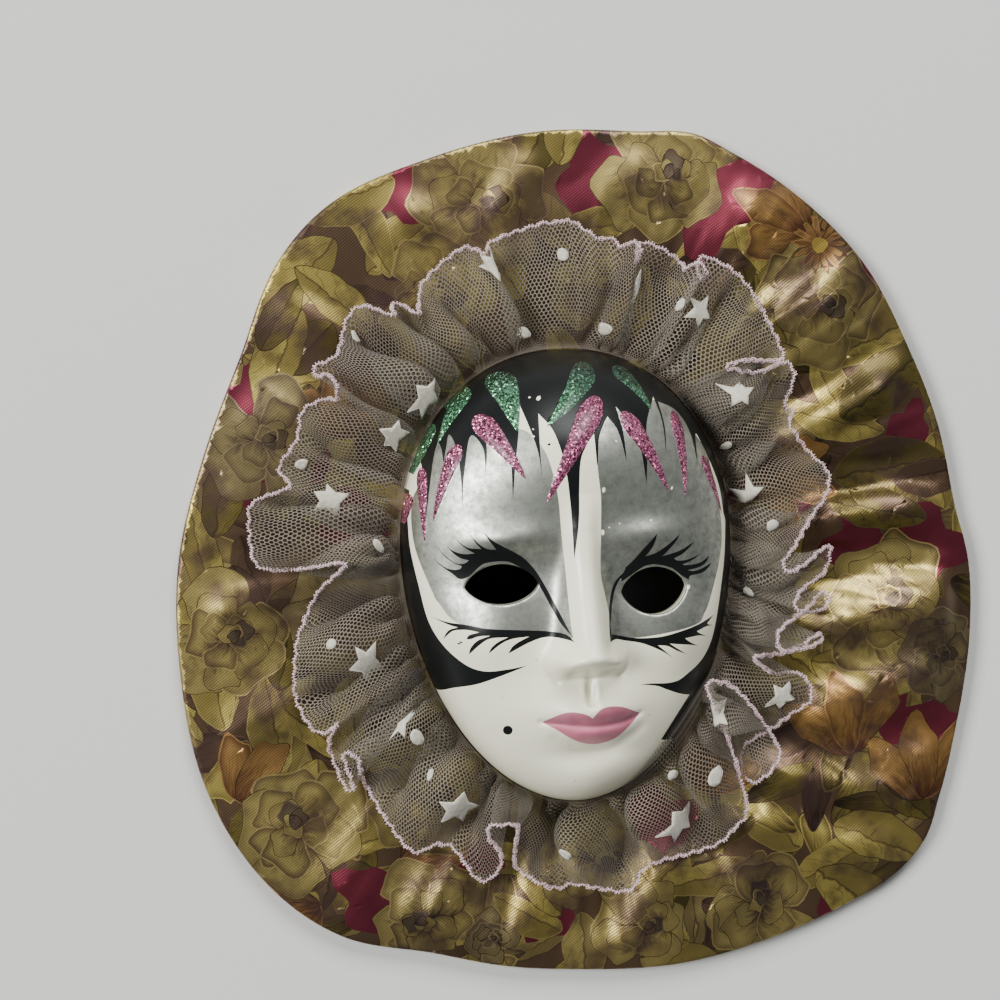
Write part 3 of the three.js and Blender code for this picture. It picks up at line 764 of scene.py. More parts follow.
# Collar. Metallic gold twill printed with roses and leaves on crimson, stretched over the card with loose
# folds that run out from the ruffle. Its edge is turned under the card as a glued hem.
HEM_WIDTH = 14
CLOTH_BOTTOM, CLOTH_TOP = 3.9, 4.7
COLLAR_UNDER_MASK = 9
PUFF = 2.0  # lift of the loosest cloth over the card
LIFT_FROM, LIFT_TO = (0.3, 0.55), (0.78, 1.03)  # where it rises and sinks, in shares of the way to the edge
CREASE, FINE_CREASE, SWELL = 0.45, 0.08, 1.1
SPOKES = 84
STEEP_SIDE = np.array([-0.55, 0.83])  # a fold's steep slope, with a hollow beside it, faces this way
COLLAR_EDGE = [  # direction in degrees and reach from the middle of the card
    (-90, 109), (-76, 111.6), (-65, 113.8), (-53, 117.7), (-47, 120.3), (-40, 120.4), (-34, 116.2),
    (-24, 110.4), (-12, 106.2), (-1, 103.1), (8, 99.8), (20, 100.1), (33, 101.6), (46, 105.7),
    (58, 108.3), (70, 110.9), (76, 112.4), (84, 109.9), (96, 109.6), (112, 109.6), (126, 111.5),
    (136, 109.3), (150, 102.4), (165, 101.5), (180, 104.4), (195, 108), (212, 114.5), (226, 117.6),
    (237, 116.6), (248, 110.8), (258, 109.4),
]
FOLDS = [  # start, end, height and half width of each loose fold
    ((48, 26), (92, 55), 3.8, 4.6), ((54, 6), (100, 16), 4.0, 5), ((55, -21), (101, -9), 5.0, 7.6),
    ((58, -38), (97, -33), 3.4, 7), ((44, -55), (90, -66), 3.6, 5.4), ((42, -71), (84, -80), 3.4, 5),
    ((34, -80), (50, -104), 2.6, 5.2), ((24, -80), (6, -106), 2.4, 5.6), ((-8, -86), (-20, -106), 1.8, 5.2),
    ((-35, -81), (-41, -102), 1.6, 5.5), ((-52, -66), (-66, -88), 1.2, 5.5), ((-74, -34), (-95, -46), 1.3, 6),
    ((-76, -9), (-98, -10), 1.2, 5), ((-73, 36), (-90, 42), 1.2, 6), ((-65, 55), (-83, 67), 1.6, 5),
    ((-42, 85), (-52, 96), 1.5, 5), ((-24, 90), (-16, 106), 1.8, 4.5), ((6, 92), (11, 107), 1.6, 6),
    ((33, 82), (45, 99), 1.8, 6), ((50, 60), (74, 80), 2.2, 5), ((70, -50), (98, -56), 2.8, 4.6),
]
PRINT_PITCH, UNDERSIDE_PITCH = 1.0, 2.4
PRINT_STEPS, UNDERSIDE_STEPS = 420, 200  # round the edge
FILLERS, FILLER_REACH = 330, 124  # leaves and petals under the larger figures


def closed_curve(points):
    """A closed cubic curve through (degrees, value, ...) points, read at an array of degrees."""
    rows = sorted((degrees % 360, *values) for degrees, *values in points)
    before = [(degrees - 360, *values) for degrees, *values in rows[-2:]]
    after = [(degrees + 360, *values) for degrees, *values in rows[:2]]
    table = np.array([*before, *rows, *after])
    knots, values = table[:, 0], table[:, 1:]
    slopes = (values[2:] - values[:-2]) / (knots[2:] - knots[:-2])[:, None]

    def read(degrees):
        degrees = np.asarray(degrees, float) % 360
        i = np.searchsorted(knots[1:-1], degrees, side="right")
        step = (knots[i + 1] - knots[i])[:, None]
        t = (degrees - knots[i])[:, None] / step
        first, last = values[i], values[i + 1]
        return (
            (2 * t**3 - 3 * t**2 + 1) * first
            + (t**3 - 2 * t**2 + t) * slopes[i - 1] * step
            + (3 * t**2 - 2 * t**3) * last
            + (t**3 - t**2) * slopes[i] * step
        )

    return read


collar_reach = closed_curve(COLLAR_EDGE)
spokes = np.arange(SPOKES) * 360 / SPOKES
corners = collar_reach(spokes) * rays(np.radians(spokes))
COLLAR_CENTRE = -(corners.min(axis=0) + corners.max(axis=0)) / 2


def collar_loop(grow, count):
    """The collar's edge, grown outwards."""
    degrees = np.arange(count) * 360 / count
    return COLLAR_CENTRE + (collar_reach(degrees) + grow) * rays(np.radians(degrees))


def mask_edge(angles, offset):
    """The mask's outline in the part's frame, moved outwards."""
    reach = 1 / outline_level(np.cos(angles - MASK_TILT), np.sin(angles - MASK_TILT)) + offset
    return np.array(MASK_CENTRE) + reach[:, None] * rays(angles)


def smoothstep(value, low, high):
    """0 below low and 1 above high, with a smooth rise between them."""
    t = np.clip((value - low) / (high - low), 0, 1)
    return t * t * (3 - 2 * t)


def crinkle(x, y, seed, counts, sharp=False):
    """Small creases that run out from the mask, as drifting waves of the direction; about -1 to 1."""
    random = np.random.default_rng(seed)
    dx, dy = x - MASK_CENTRE[0], y - MASK_CENTRE[1]
    angle, reach = np.arctan2(dy, dx), np.hypot(dx, dy)
    total, weight = np.zeros_like(x), 0
    for count in counts:
        phase, drift, slow = random.uniform(0, 2 * math.pi), random.uniform(-0.5, 0.5), random.uniform(0, 6)
        amount = random.uniform(0.4, 1) / count**0.5
        wave = np.sin(count * angle + phase + drift * reach / 9)
        if sharp:
            wave = 1 - 2 * np.abs(wave) ** 0.8
        total += amount * wave * (0.6 + 0.4 * np.sin(reach / 14 + slow))
        weight += amount**2
    return total / math.sqrt(weight)


def cloth_height(x, y):
    """Height of the collar's cloth over its lie on the card."""
    points = np.column_stack([x, y])
    inner = distance_to(points, collar_inner)
    outer = distance_to(points, collar_outer)
    share = inner / (inner + outer)
    fade = smoothstep(share, *LIFT_FROM) * (1 - smoothstep(share, *LIFT_TO))
    looseness = 0.12 + 0.88 * smoothstep(x - 0.5 * y, -60, 30)  # the cloth is tighter at the upper left
    play = 0.2 + 0.8 * looseness
    lift = PUFF * play
    for (x0, y0), (x1, y1), height, width in FOLDS:
        dx, dy = x1 - x0, y1 - y0
        length = math.hypot(dx, dy)
        along = ((x - x0) * dx + (y - y0) * dy) / length
        across = ((x - x0) * dy - (y - y0) * dx) / length
        across *= math.copysign(1, STEEP_SIDE @ (dy, -dx))
        across += 1.6 * np.sin(along / 11 + x0)
        ends = smoothstep(along, -10, 6) * (1 - smoothstep(along, length - 6, length + 2))
        slope = np.where(across > 0, 0.9, 1.4) * width
        ridge = np.exp(-((across / slope) ** 2))
        hollow = np.exp(-(((across - 2 * width) / width) ** 2))
        lift += height * ends * (ridge - 0.5 * hollow)
    creases = CREASE * crinkle(x, y, 3, range(17, 60, 5), sharp=True)
    creases += FINE_CREASE * crinkle(x, y, 5, range(60, 150, 9))
    swells = SWELL * np.sin(x / 7.3 + 1.4 * np.sin(y / 11)) * np.sin(y / 6.1 + 1.7 * np.sin(x / 13))
    return fade * np.maximum(lift + play * (creases + swells), 0.1)


collar_inner = mask_edge(np.radians(np.arange(0, 360, 3)), -COLLAR_UNDER_MASK)
collar_outer = collar_loop(0, 240)

# The print is a list of figures from the lowest up. Each is its outline, its base, its directions along (in
# shares of its length) and across (in shares of its half width), its kind, its light and dark tone and a
# number drawn by lot.
PETAL, LEAF, PLAIN = 0, 1, 2
CRIMSON = (0.18, 0.03, 0.052)
OLIVE_GOLD = ((0.42, 0.34, 0.12), (0.10, 0.062, 0.045))
LEAF_GOLD = ((0.50, 0.41, 0.115), (0.09, 0.058, 0.03))
DARK_OLIVE = ((0.20, 0.16, 0.045), (0.04, 0.028, 0.02))
GREY_OLIVE = ((0.29, 0.235, 0.11), (0.09, 0.06, 0.055))
TAN = ((0.46, 0.27, 0.09), (0.13, 0.055, 0.03))
BROWN = ((0.14, 0.09, 0.055), (0.04, 0.023, 0.02))
BUD_SHADE = ((0.16, 0.12, 0.075), (0.05, 0.034, 0.035))
DAISY_EYE = ((0.5, 0.36, 0.08), (0.3, 0.2, 0.05))
COLOURS = {
    "rose": OLIVE_GOLD, "leaf": LEAF_GOLD, "olive": DARK_OLIVE, "grey": GREY_OLIVE, "tan": TAN,
    "brown": BROWN, "daisy": TAN,
}
FIGURES = [  # kind, middle or base, size, turn in degrees
    ("leaf", (-49, 96), 27, 200), ("leaf", (-64, 81), 34, 230), ("leaf", (-73, 64), 29, 250),
    ("leaf", (-7, 100), 25, 80), ("leaf", (-7, 83), 21, 10), ("leaf", (75, 62), 24, -70),
    ("leaf", (62, 50), 34, 25), ("olive", (66, 36), 35, 35), ("leaf", (93, 32), 21, -80),
    ("olive", (66, 20), 31, 10), ("olive", (64, 14), 27, -10), ("brown", (82, 19), 23, 10),
    ("leaf", (60, -28), 31, -10), ("leaf", (77, -76), 26, -150), ("leaf", (66, -72), 30, -20),
    ("leaf", (62, -84), 34, -35), ("leaf", (28, -102), 25, 170), ("brown", (31, -91), 20, -30),
    ("leaf", (-6, -98), 21, 150), ("leaf", (-61, -75), 29, 30), ("leaf", (-78, -54), 25, 100),
    ("olive", (-79, -33), 24, 80), ("olive", (-80, 10), 21, 60), ("olive", (-83, 53), 21, 60),
    ("leaf", (-55, 58), 25, 140), ("leaf", (-17, 66), 21, 120), ("leaf", (27, 69), 21, -60),
    ("leaf", (55, -12), 21, 0), ("leaf", (-17, -76), 21, -60), ("leaf", (-61, -46), 25, -30),
    ("olive", (-95, 6), 25, 80), ("leaf", (-93, -43), 25, 100), ("tan", (58, 84), 22, 150),
    ("tan", (-69, -89), 20, 200), ("tan", (-48, -78), 20, 10), ("tan", (71, -53), 23, 100),
    ("tan", (92, -66), 25, 95), ("tan", (-61, 31), 20, 100), ("tan", (46, 22), 20, -20),
    ("tan", (31, -62), 20, 60), ("tan", (-90, -61), 20, 50), ("rose", (-28, 90), 17, 20),
    ("rose", (20, 97), 17, 60), ("rose", (61, 67), 17, -30), ("rose", (79, -13), 18, 40),
    ("grey", (95, -27), 12, 0), ("rose", (47, -93), 16, 100), ("rose", (15, -97), 13, 0),
    ("rose", (-41, -93), 15, 200), ("grey", (-25, -99), 7, 0), ("rose", (-74, -69), 17, 120),
    ("grey", (-83, 31), 15, 0), ("grey", (-62, -15), 16, 40), ("rose", (-38, 66), 15, 0),
    ("rose", (4, 69), 13, 20), ("rose", (41, 48), 13, 0), ("rose", (42, -1), 15, 0),
    ("rose", (39, -33), 15, 90), ("rose", (4, -80), 15, 0), ("rose", (-41, -62), 15, 10),
    ("rose", (-92, -20), 16, 30), ("daisy", (61.5, 81), 11, 0),
]
GAPS = [  # where the crimson ground shows: middle and size
    ((2, 98), 8), ((32, 92), 10), ((47, 97), 7), ((76, 72), 4), ((86, 33), 5), ((90, 2), 9), ((72, 4), 7),
    ((95, -50), 9), ((80, -42), 6), ((-30, -78), 6), ((-56, -87), 7), ((-10, -94), 5), ((-46, 92), 6),
    ((-84, 42), 6), ((-74, 24), 6), ((70, -96), 6), ((50, 12), 8), ((-60, 10), 6), ((20, -70), 7),
    ((-88, 20), 4),
]
random = np.random.default_rng(11)
figures = []


def unit(degrees):
    """The unit vector in one direction."""
    return np.array([math.cos(math.radians(degrees)), math.sin(math.radians(degrees))])


def add_petal(base, degrees, length, width, colours, kind=PETAL):
    """A petal or leaf from its base outwards; a petal is broad and wavy, a leaf pointed and bent."""
    base, along = np.array(base, float), unit(degrees)
    across = np.array([-along[1], along[0]])
    a = np.linspace(0, 2 * math.pi, 27 if kind == PETAL else 33)[:-1]
    t = (1 - np.cos(a)) / 2
    if kind == PETAL:
        ripple = 1 + 0.10 * np.sin(2 * a + random.uniform(0, 6)) + 0.06 * np.sin(5 * a + random.uniform(0, 6))
        s = np.sin(a) * (0.5 + 0.5 * t) * ripple
        t = t * (0.93 + 0.08 * np.cos(4 * a + random.uniform(0, 6)))
    else:
        s = np.sign(np.sin(a)) * np.abs(np.sin(a)) ** 1.25 * (1.1 - 0.35 * t) * (1 + 0.05 * np.sin(9 * a))
        s += random.uniform(-0.35, 0.35) * 4 * t * (1 - t)
    outline = base + np.outer(t * length, along) + np.outer(s * width / 2, across)
    figures.append((outline, base, along / length, across * 2 / width, kind, *colours, random.uniform(0, 1)))


def add_rose(middle, size, turn, colours):
    """Loose layers of broad petals round a bud that sits off the middle."""
    for count, reach, start in ((5, 1.0, 0.1), (5, 0.74, 0.06), (3, 0.5, 0.02)):
        for i in range(count):
            degrees = turn + 360 * i / count + random.uniform(-24, 24)
            length = size * reach * random.uniform(0.84, 1.12)
            width = size * reach * random.uniform(1.05, 1.5)
            add_petal(middle + unit(degrees) * size * start, degrees, length, width, colours)
    bud = middle + unit(turn) * size * 0.15
    for i in range(5):
        degrees = turn + 137 * i
        tones = colours if i % 2 else BUD_SHADE
        length, width = size * (0.46 - 0.05 * i), size * (0.44 - 0.05 * i)
        add_petal(bud - unit(degrees) * size * 0.12, degrees, length, width, tones)


for _ in range(FILLERS):
    place_at = unit(random.uniform(0, 360)) * FILLER_REACH * math.sqrt(random.uniform(0.06, 1))
    colours = (DARK_OLIVE, LEAF_GOLD, BROWN, OLIVE_GOLD, LEAF_GOLD)[random.integers(5)]
    kind = (LEAF, LEAF, PETAL)[random.integers(3)]
    add_petal(place_at, random.uniform(0, 360), random.uniform(17, 27), random.uniform(9, 13), colours, kind)
for (gx, gy), size in GAPS:
    a = np.linspace(0, 2 * math.pi, 23)[:-1]
    ripple = size * 1.25 * (1 + 0.25 * np.sin(3 * a + gx) + 0.16 * np.sin(5 * a + gy))
    middle = np.array([gx, gy])
    outline = middle + ripple[:, None] * rays(a)
    figures.append((outline, middle, unit(0) / size, unit(90) / size, PLAIN, CRIMSON, CRIMSON, 0.0))
for kind, middle, size, turn in FIGURES:
    colours = COLOURS[kind]
    middle = np.array(middle, float)
    if kind in ("rose", "grey"):
        add_rose(middle, size, turn, colours)
    elif kind == "tan":
        for degrees in (turn - 38, turn + 42, turn + 2):
            add_petal(middle, degrees, size * random.uniform(0.85, 1.1), size * 0.55, colours)
    elif kind == "daisy":
        for i in range(14):
            add_petal(middle, 360 * i / 14, size * 0.75, size * 0.22, colours)
        add_petal(middle - unit(0) * size * 0.2, 0, size * 0.4, size * 0.4, DAISY_EYE, PLAIN)
    else:
        add_petal(middle, turn, size, size * 0.45, colours, LEAF)

# The cloth is cut flat, a hem's width larger than the card all round, and folded down and under its edge.
# Each pair of OUTSIDE and INSIDE is a point of its section: how far from the collar's edge, and how high.
FOLD_AT = np.array([-0.4, 0.49, 3.99, 4.56, 4.56 + HEM_WIDTH - 0.4])  # along the cloth, from that edge
FOLD_LINES = (-0.4, 0.49, 2.2, 3.99, 4.56)
OUTSIDE = np.array([(-0.4, CLOTH_TOP), (0, CLOTH_BOTTOM), (0, 0.4), (-0.4, 0), (-HEM_WIDTH, 0)])
INSIDE = np.array([(-0.8, CLOTH_BOTTOM), (-0.8, 3.6), (-0.8, 1.1), (-1.1, 0.8), (-HEM_WIDTH, 0.8)])


def folded(flat_points, section, thickness):
    """Flat points of the cloth, lifted into its folds and turned round the card's edge."""
    offset = flat_points - COLLAR_CENTRE
    angle, reach = np.arctan2(offset[:, 1], offset[:, 0]), np.hypot(*offset.T)
    edge = collar_reach(np.degrees(angle))[:, 0]
    beyond = reach - edge
    step = np.interp(beyond, FOLD_AT, section[:, 0]) - np.interp(beyond, FOLD_AT, FOLD_AT)
    before = (section[0, 0] - FOLD_AT[0]) * smoothstep(beyond, -8, FOLD_AT[0])
    radius = reach + np.where(beyond > FOLD_AT[0], step, before)
    x, y = COLLAR_CENTRE[0] + radius * np.cos(angle), COLLAR_CENTRE[1] + radius * np.sin(angle)
    top_side = CLOTH_TOP - thickness + np.where(beyond < FOLD_AT[0], cloth_height(x, y), 0)
    z = np.where(beyond > FOLD_AT[0], np.interp(beyond, FOLD_AT, section[:, 1]), top_side)
    return np.column_stack([x, y, z])


pattern_edge = collar_loop(FOLD_AT[-1], PRINT_STEPS)
fold_lines = [collar_loop(at, PRINT_STEPS) for at in FOLD_LINES]
print_lines = [*fold_lines, *[outline for outline, *_ in figures]]
collar_flat, collar_faces, collar_top = cut_sheet(pattern_edge, [collar_inner], print_lines, PRINT_PITCH)
*lining_lines, lining_edge = [collar_loop(at, UNDERSIDE_STEPS) for at in FOLD_AT]
lining_flat, lining_faces, _ = cut_sheet(lining_edge, [collar_inner], lining_lines, UNDERSIDE_PITCH)


def outer_first(points, triangles):
    """The sheet's borders, from the outermost inwards."""
    return sorted(border_loops(triangles), key=lambda loop: -np.linalg.norm(points[loop[0]] - COLLAR_CENTRE))


first = len(collar_flat)
lining = folded(lining_flat, INSIDE, CLOTH_TOP - CLOTH_BOTTOM)
collar_points = np.concatenate([folded(collar_flat, OUTSIDE, 0), lining])
place = collar_points[:, :2]
outer_loops = outer_first(collar_flat, collar_faces)
lining_loops = outer_first(lining_flat, lining_faces)
seams = []
for outer_loop, lining_loop, centre in zip(outer_loops, lining_loops, (COLLAR_CENTRE, MASK_CENTRE)):
    seams += zipped(outer_loop, [i + first for i in lining_loop], place, np.array(centre))


def lame_finish():
    """Printed metallic twill: shaded petals with pale rims, veined leaves, mauve washes, fine threads."""
    lame = Finish("printed_lame", Metallic=0.82, Roughness=0.38)
    maths, mixed, noise, ramp = lame.maths, lame.mixed, lame.noise, lame.ramp
    tint = lame.node("Attribute", attribute_name="tint")["Color"]
    shading = lame.node("Attribute", attribute_name="shade")
    shade, lot = shading["Color"], shading["Alpha"]
    rim = lame.node("Attribute", attribute_name="rim")["Fac"]
    kind = lame.node("Attribute", attribute_name="kind")["Fac"]
    is_leaf = maths("COMPARE", kind, LEAF, 0.3)
    is_plain = maths("COMPARE", kind, PLAIN, 0.3)
    figure = lame.node("SeparateXYZ", {0: lame.node("UVMap", uv_map="figure")[0]})

    def on_figures(share):
        """The share on petals and leaves, and none on the plain ground."""
        return mixed(is_plain, share, (0, 0, 0, 1))

    def threads(degrees, scale):
        """The twill's threads in one direction."""
        turned = lame.node("Mapping", {"Vector": lame.place(), "Rotation": (0, 0, math.radians(degrees))})[0]
        inputs = {"Vector": turned, "Scale": scale, "Distortion": 0.4, "Detail": 1}
        return lame.node("TexWave", inputs, bands_direction="X")[1]

    wobble = maths("SUBTRACT", noise(240), 0.5)
    along = maths("MULTIPLY_ADD", wobble, 0.16, figure[0])
    across = maths("MULTIPLY_ADD", wobble, 0.5, figure[1])
    spread = [maths("MULTIPLY", value, by) for value, by in ((along, 1.5), (across, 6), (lot, 50))]
    streaks = noise(1.0, 4, 0.6, lame.node("CombineXYZ", dict(enumerate(spread)))[0])
    towards_base = maths("MULTIPLY_ADD", along, -1.5, maths("MULTIPLY_ADD", streaks, 1.5, 0.25))
    petal_marks = ramp(towards_base, (0.2, 0), (0.9, 1))
    near_base = ramp(towards_base, (0.0, 0), (0.5, 0.75))
    hatching = maths("SINE", maths("MULTIPLY_ADD", across, 30, maths("MULTIPLY", streaks, 22)))
    hatching = maths("MULTIPLY", near_base, ramp(hatching, (0.1, 0), (0.8, 1)))
    petal_marks = maths("MAXIMUM", petal_marks, hatching)
    rim_share = maths("MULTIPLY_ADD", wobble, 0.1, maths("MULTIPLY", rim, 0.25))
    inner_band = maths("MULTIPLY", ramp(rim_share, (0.07, 0), (0.13, 1), (0.6, 0)), lot)
    petal_marks = maths("MAXIMUM", petal_marks, maths("MULTIPLY", inner_band, 0.85))

    side = maths("ABSOLUTE", across)
    vein_phase = maths("FRACT", maths("MULTIPLY_ADD", along, 5, maths("MULTIPLY", side, -1.6)))
    side_veins = ramp(vein_phase, (0.0, 1), (0.05, 1), (0.11, 0))
    midrib = ramp(side, (0.02, 1), (0.08, 0))
    veins = maths("MAXIMUM", maths("MULTIPLY", side_veins, 0.5), maths("MULTIPLY", midrib, 0.8))
    dark_half = maths("MULTIPLY", maths("GREATER_THAN", across, 0.0), 0.45)
    blotches = ramp(noise(190), (0.5, 0), (0.7, 0.6))
    leaf_marks = maths("MAXIMUM", maths("MAXIMUM", veins, dark_half), blotches)

    tone = mixed(on_figures(mixed(is_leaf, petal_marks, leaf_marks)), tint, shade)
    pale = mixed(1.0, tint, (1.25, 1.15, 1.5, 1), "MULTIPLY")
    pale_rim = maths("MULTIPLY", ramp(rim_share, (0.04, 1), (0.09, 0)), maths("GREATER_THAN", lot, 0.5))
    tone = mixed(on_figures(maths("MULTIPLY", pale_rim, 0.5)), tone, pale)
    dark_rim = maths("MULTIPLY", ramp(rim_share, (0.03, 1), (0.075, 0)), maths("LESS_THAN", lot, 0.5))
    tone = mixed(on_figures(maths("MULTIPLY", dark_rim, 0.8)), tone, (0.03, 0.018, 0.018, 1))
    wash = ramp(noise(75, 4), (0.47, 0), (0.62, 0.75))
    tone = mixed(on_figures(wash), tone, (0.085, 0.05, 0.05, 1))
    patches = ramp(noise(38), (0.3, (0.6, 0.58, 0.62)), (0.7, (1.2, 1.17, 1.05)))
    tone = mixed(1.0, tone, patches, "MULTIPLY")
    weave = maths("MULTIPLY", threads(52, 520), maths("MULTIPLY_ADD", threads(-12, 640), 0.5, 0.5))
    glint = ramp(weave, (0.1, (0.35, 0.33, 0.33)), (0.7, (1.35, 1.35, 1.3)))
    lame.feed("Base Color", mixed(0.4, tone, glint, "MULTIPLY"))
    lame.bump(weave, 0.035, 0.6)
    return lame


collar = closed_piece(
    "printed_collar",
    collar_points,
    [*collar_faces.tolist(), *(lining_faces[:, ::-1] + first).tolist(), *seams],
    [lame_finish()],
)
mesh = collar.data
corner_point = np.zeros(len(mesh.loops), dtype=np.int32)
mesh.loops.foreach_get("vertex_index", corner_point)
corner_face = np.repeat(np.arange(len(mesh.polygons)), 3)
tint = np.tile((*BROWN[0], 1.0), (len(corner_point), 1))
shade = np.tile((*BROWN[1], 0.0), (len(corner_point), 1))
rim = np.full(len(corner_point), 4.0)
kinds = np.full(len(mesh.polygons), float(PLAIN))
figure_map = np.zeros((len(corner_point), 2))
figure_map[:, 1] = 0.5
figure_of = np.full(len(mesh.polygons), -1)
figure_of[: len(collar_top)] = np.maximum(collar_top - len(fold_lines), -1)
order = np.argsort(figure_of[corner_face], kind="stable")
starts = np.searchsorted(figure_of[corner_face][order], np.arange(len(figures) + 1))
for index, (outline, base, along, across, kind, light, dark, lot) in enumerate(figures):
    chosen = order[starts[index] : starts[index + 1]]
    if not len(chosen):
        continue
    points = collar_flat[corner_point[chosen]]
    tint[chosen, :3], shade[chosen] = light, (*dark, lot)
    rim[chosen] = np.minimum(distance_to(points, outline), 4)
    kinds[corner_face[chosen]] = kind
    figure_map[chosen, 0] = (points - base) @ along
    figure_map[chosen, 1] = (points - base) @ across
for name, kind, domain, field, values in (
    ("tint", "FLOAT_COLOR", "CORNER", "color", tint),
    ("shade", "FLOAT_COLOR", "CORNER", "color", shade),
    ("rim", "FLOAT", "CORNER", "value", rim),
    ("kind", "FLOAT", "FACE", "value", kinds),
):
    mesh.attributes.new(name, kind, domain).data.foreach_set(field, values.ravel())
mesh.uv_layers.new(name="figure").data.foreach_set("uv", figure_map.ravel())
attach(collar, "root")
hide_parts("fabric_collar")

# Ruffle. One long strip of net with flocked stars and dots, gathered by hand against the mask's side, so
# that it flares into uneven lobes with folds and rolled tucks between them. Its free edge is overlocked.
RUFFLE_EDGE = [  # the free edge clockwise from above the forehead: x, y and height over the table
    (-5, 85.5, 11), (2, 81, 12), (5, 81.5, 12), (7.5, 79, 14), (9.5, 80, 17), (11, 78, 20),
    (10.5, 75, 17), (12.5, 80, 12), (16.5, 79.5, 11), (23, 75.5, 13), (23.5, 73.5, 17), (25.5, 75, 19),
    (27.5, 73, 20), (27.5, 71, 16), (27.5, 75.5, 12), (31, 76.5, 11), (40.5, 69.5, 11), (49.5, 53, 12),
    (47.5, 50.5, 14), (37.5, 50.5, 21), (32.5, 49, 22), (41, 47.5, 19), (50, 50, 13), (52.5, 47.5, 12),
    (52, 43, 11), (50.5, 39.5, 12), (53, 37, 11), (51.5, 33.5, 12), (61.5, 23, 11), (62.5, 18.5, 11),
    (61, 14.5, 11), (55.5, 7.5, 13), (49, -0.5, 19), (51, -3, 19), (62, 2.5, 12), (63, 0, 12),
    (61.5, -4, 12), (55, -8, 15), (52, -11.5, 18), (53.5, -13.5, 18), (58, -12, 14), (61, -9, 12),
    (63, -11.5, 12), (60, -14, 13), (54.5, -14.5, 15), (48.5, -17.5, 18), (46.5, -20.5, 20),
    (49.5, -23.5, 18), (59.5, -22.5, 13), (60, -20, 12), (50.5, -24.5, 15), (41, -24.5, 20),
    (44, -27.5, 17), (48.5, -30, 14), (54, -30, 12), (57.5, -32.5, 11), (58.5, -36.5, 11), (56, -40, 11),
    (44.5, -46.5, 11), (40, -50.5, 12), (41, -57, 12), (44, -58.5, 12), (49, -53.5, 13), (49, -48.5, 14),
    (37, -33.5, 19), (29, -30.5, 22), (29, -34.5, 22), (34.5, -45, 19), (41.5, -65.5, 11),
    (38.5, -71, 10), (32, -76, 10), (19, -79, 10), (14, -81.5, 10), (12.5, -85.5, 10), (8.5, -87, 10),
    (-2.5, -84.5, 10), (-8.5, -85.5, 10), (-17, -81, 11), (-19.5, -77, 13), (-20, -66, 22),
    (-23.5, -65, 23), (-27, -65.5, 22), (-27, -69, 20), (-24, -73, 17), (-23, -76.5, 14), (-24, -80, 12),
    (-26.5, -82.5, 11), (-29.5, -81.5, 10), (-34.5, -74.5, 10), (-39, -73, 10), (-46.5, -73.5, 10),
    (-57.5, -56.5, 11), (-59.5, -49, 16), (-63, -48.5, 15), (-60.5, -57, 12), (-63, -56, 11),
    (-66.5, -46, 12), (-64.5, -40, 16), (-67.5, -43, 12), (-70.5, -42, 11), (-73.5, -37.5, 10),
    (-75, -32, 10), (-74.5, -21, 10), (-72.5, -15, 10), (-68.5, -6.5, 12), (-62.5, 0.5, 19),
    (-73.5, -1.5, 11), (-81, -1.5, 10), (-85, 1, 10), (-86, 12, 10), (-84.5, 15.5, 11), (-76, 19.5, 14),
    (-78.5, 23.5, 11), (-74, 31, 11), (-72.5, 38, 11), (-67, 41, 14), (-64.5, 41, 17), (-64.5, 44.5, 18),
    (-66.5, 47, 16), (-69, 46.5, 12), (-69.5, 49, 12), (-64, 52, 14), (-61.5, 60.5, 11), (-57.5, 64, 11),
    (-50.5, 61.5, 17), (-50.5, 64, 13), (-48, 64.5, 12), (-44.5, 62, 17), (-43.5, 65.5, 13),
    (-42, 70.5, 11), (-32.5, 78.5, 11), (-27, 77, 16), (-25.5, 80, 13), (-13.5, 84.5, 11), (-9, 85, 11),
]
NET_COLUMNS, NET_ROWS = 1400, 26
BAND_ROWS = 4  # of the gathers that hug the mask's side
ROOT_CLEARANCE = 0.45
LIE_CLEARANCE = 0.7  # of the net over the collar
SCALLOP, SCALLOP_PITCH = 0.75, 3.7
EDGE_WOBBLE, BELLY = 2.5, 3.0  # how far the free edge and the strip's middle rise and fall
NARROW_PLEATS, BROAD_PLEATS = 84, 41
NET_PITCH = 1.0
random = np.random.default_rng(23)


def closed_path(points, count):
    """Evenly spaced points on a smooth closed curve through points, and its length."""
    points = np.array(points, float)
    a, b, c, d = (np.roll(points, shift, axis=0)[:, None] for shift in (1, 0, -1, -2))
    t = np.linspace(0, 1, 24, endpoint=False)[None, :, None]
    dense = spline(a, b, c, d, t).reshape(-1, points.shape[1])
    steps = np.linalg.norm(np.diff(dense, axis=0, append=dense[:1]), axis=1)
    travelled = np.concatenate([[0], np.cumsum(steps)])
    at = np.arange(count) * travelled[-1] / count
    dense = np.concatenate([dense, dense[:1]])
    return np.column_stack([np.interp(at, travelled, column) for column in dense.T]), travelled[-1]


def softened(values, width):
    """A closed row of values, smoothed over a number of columns."""
    kernel = np.hanning(2 * width + 1)[1:-1]
    padded = np.concatenate([values[-width:], values, values[:width]])
    return np.convolve(padded, kernel / kernel.sum(), "same")[width:-width]


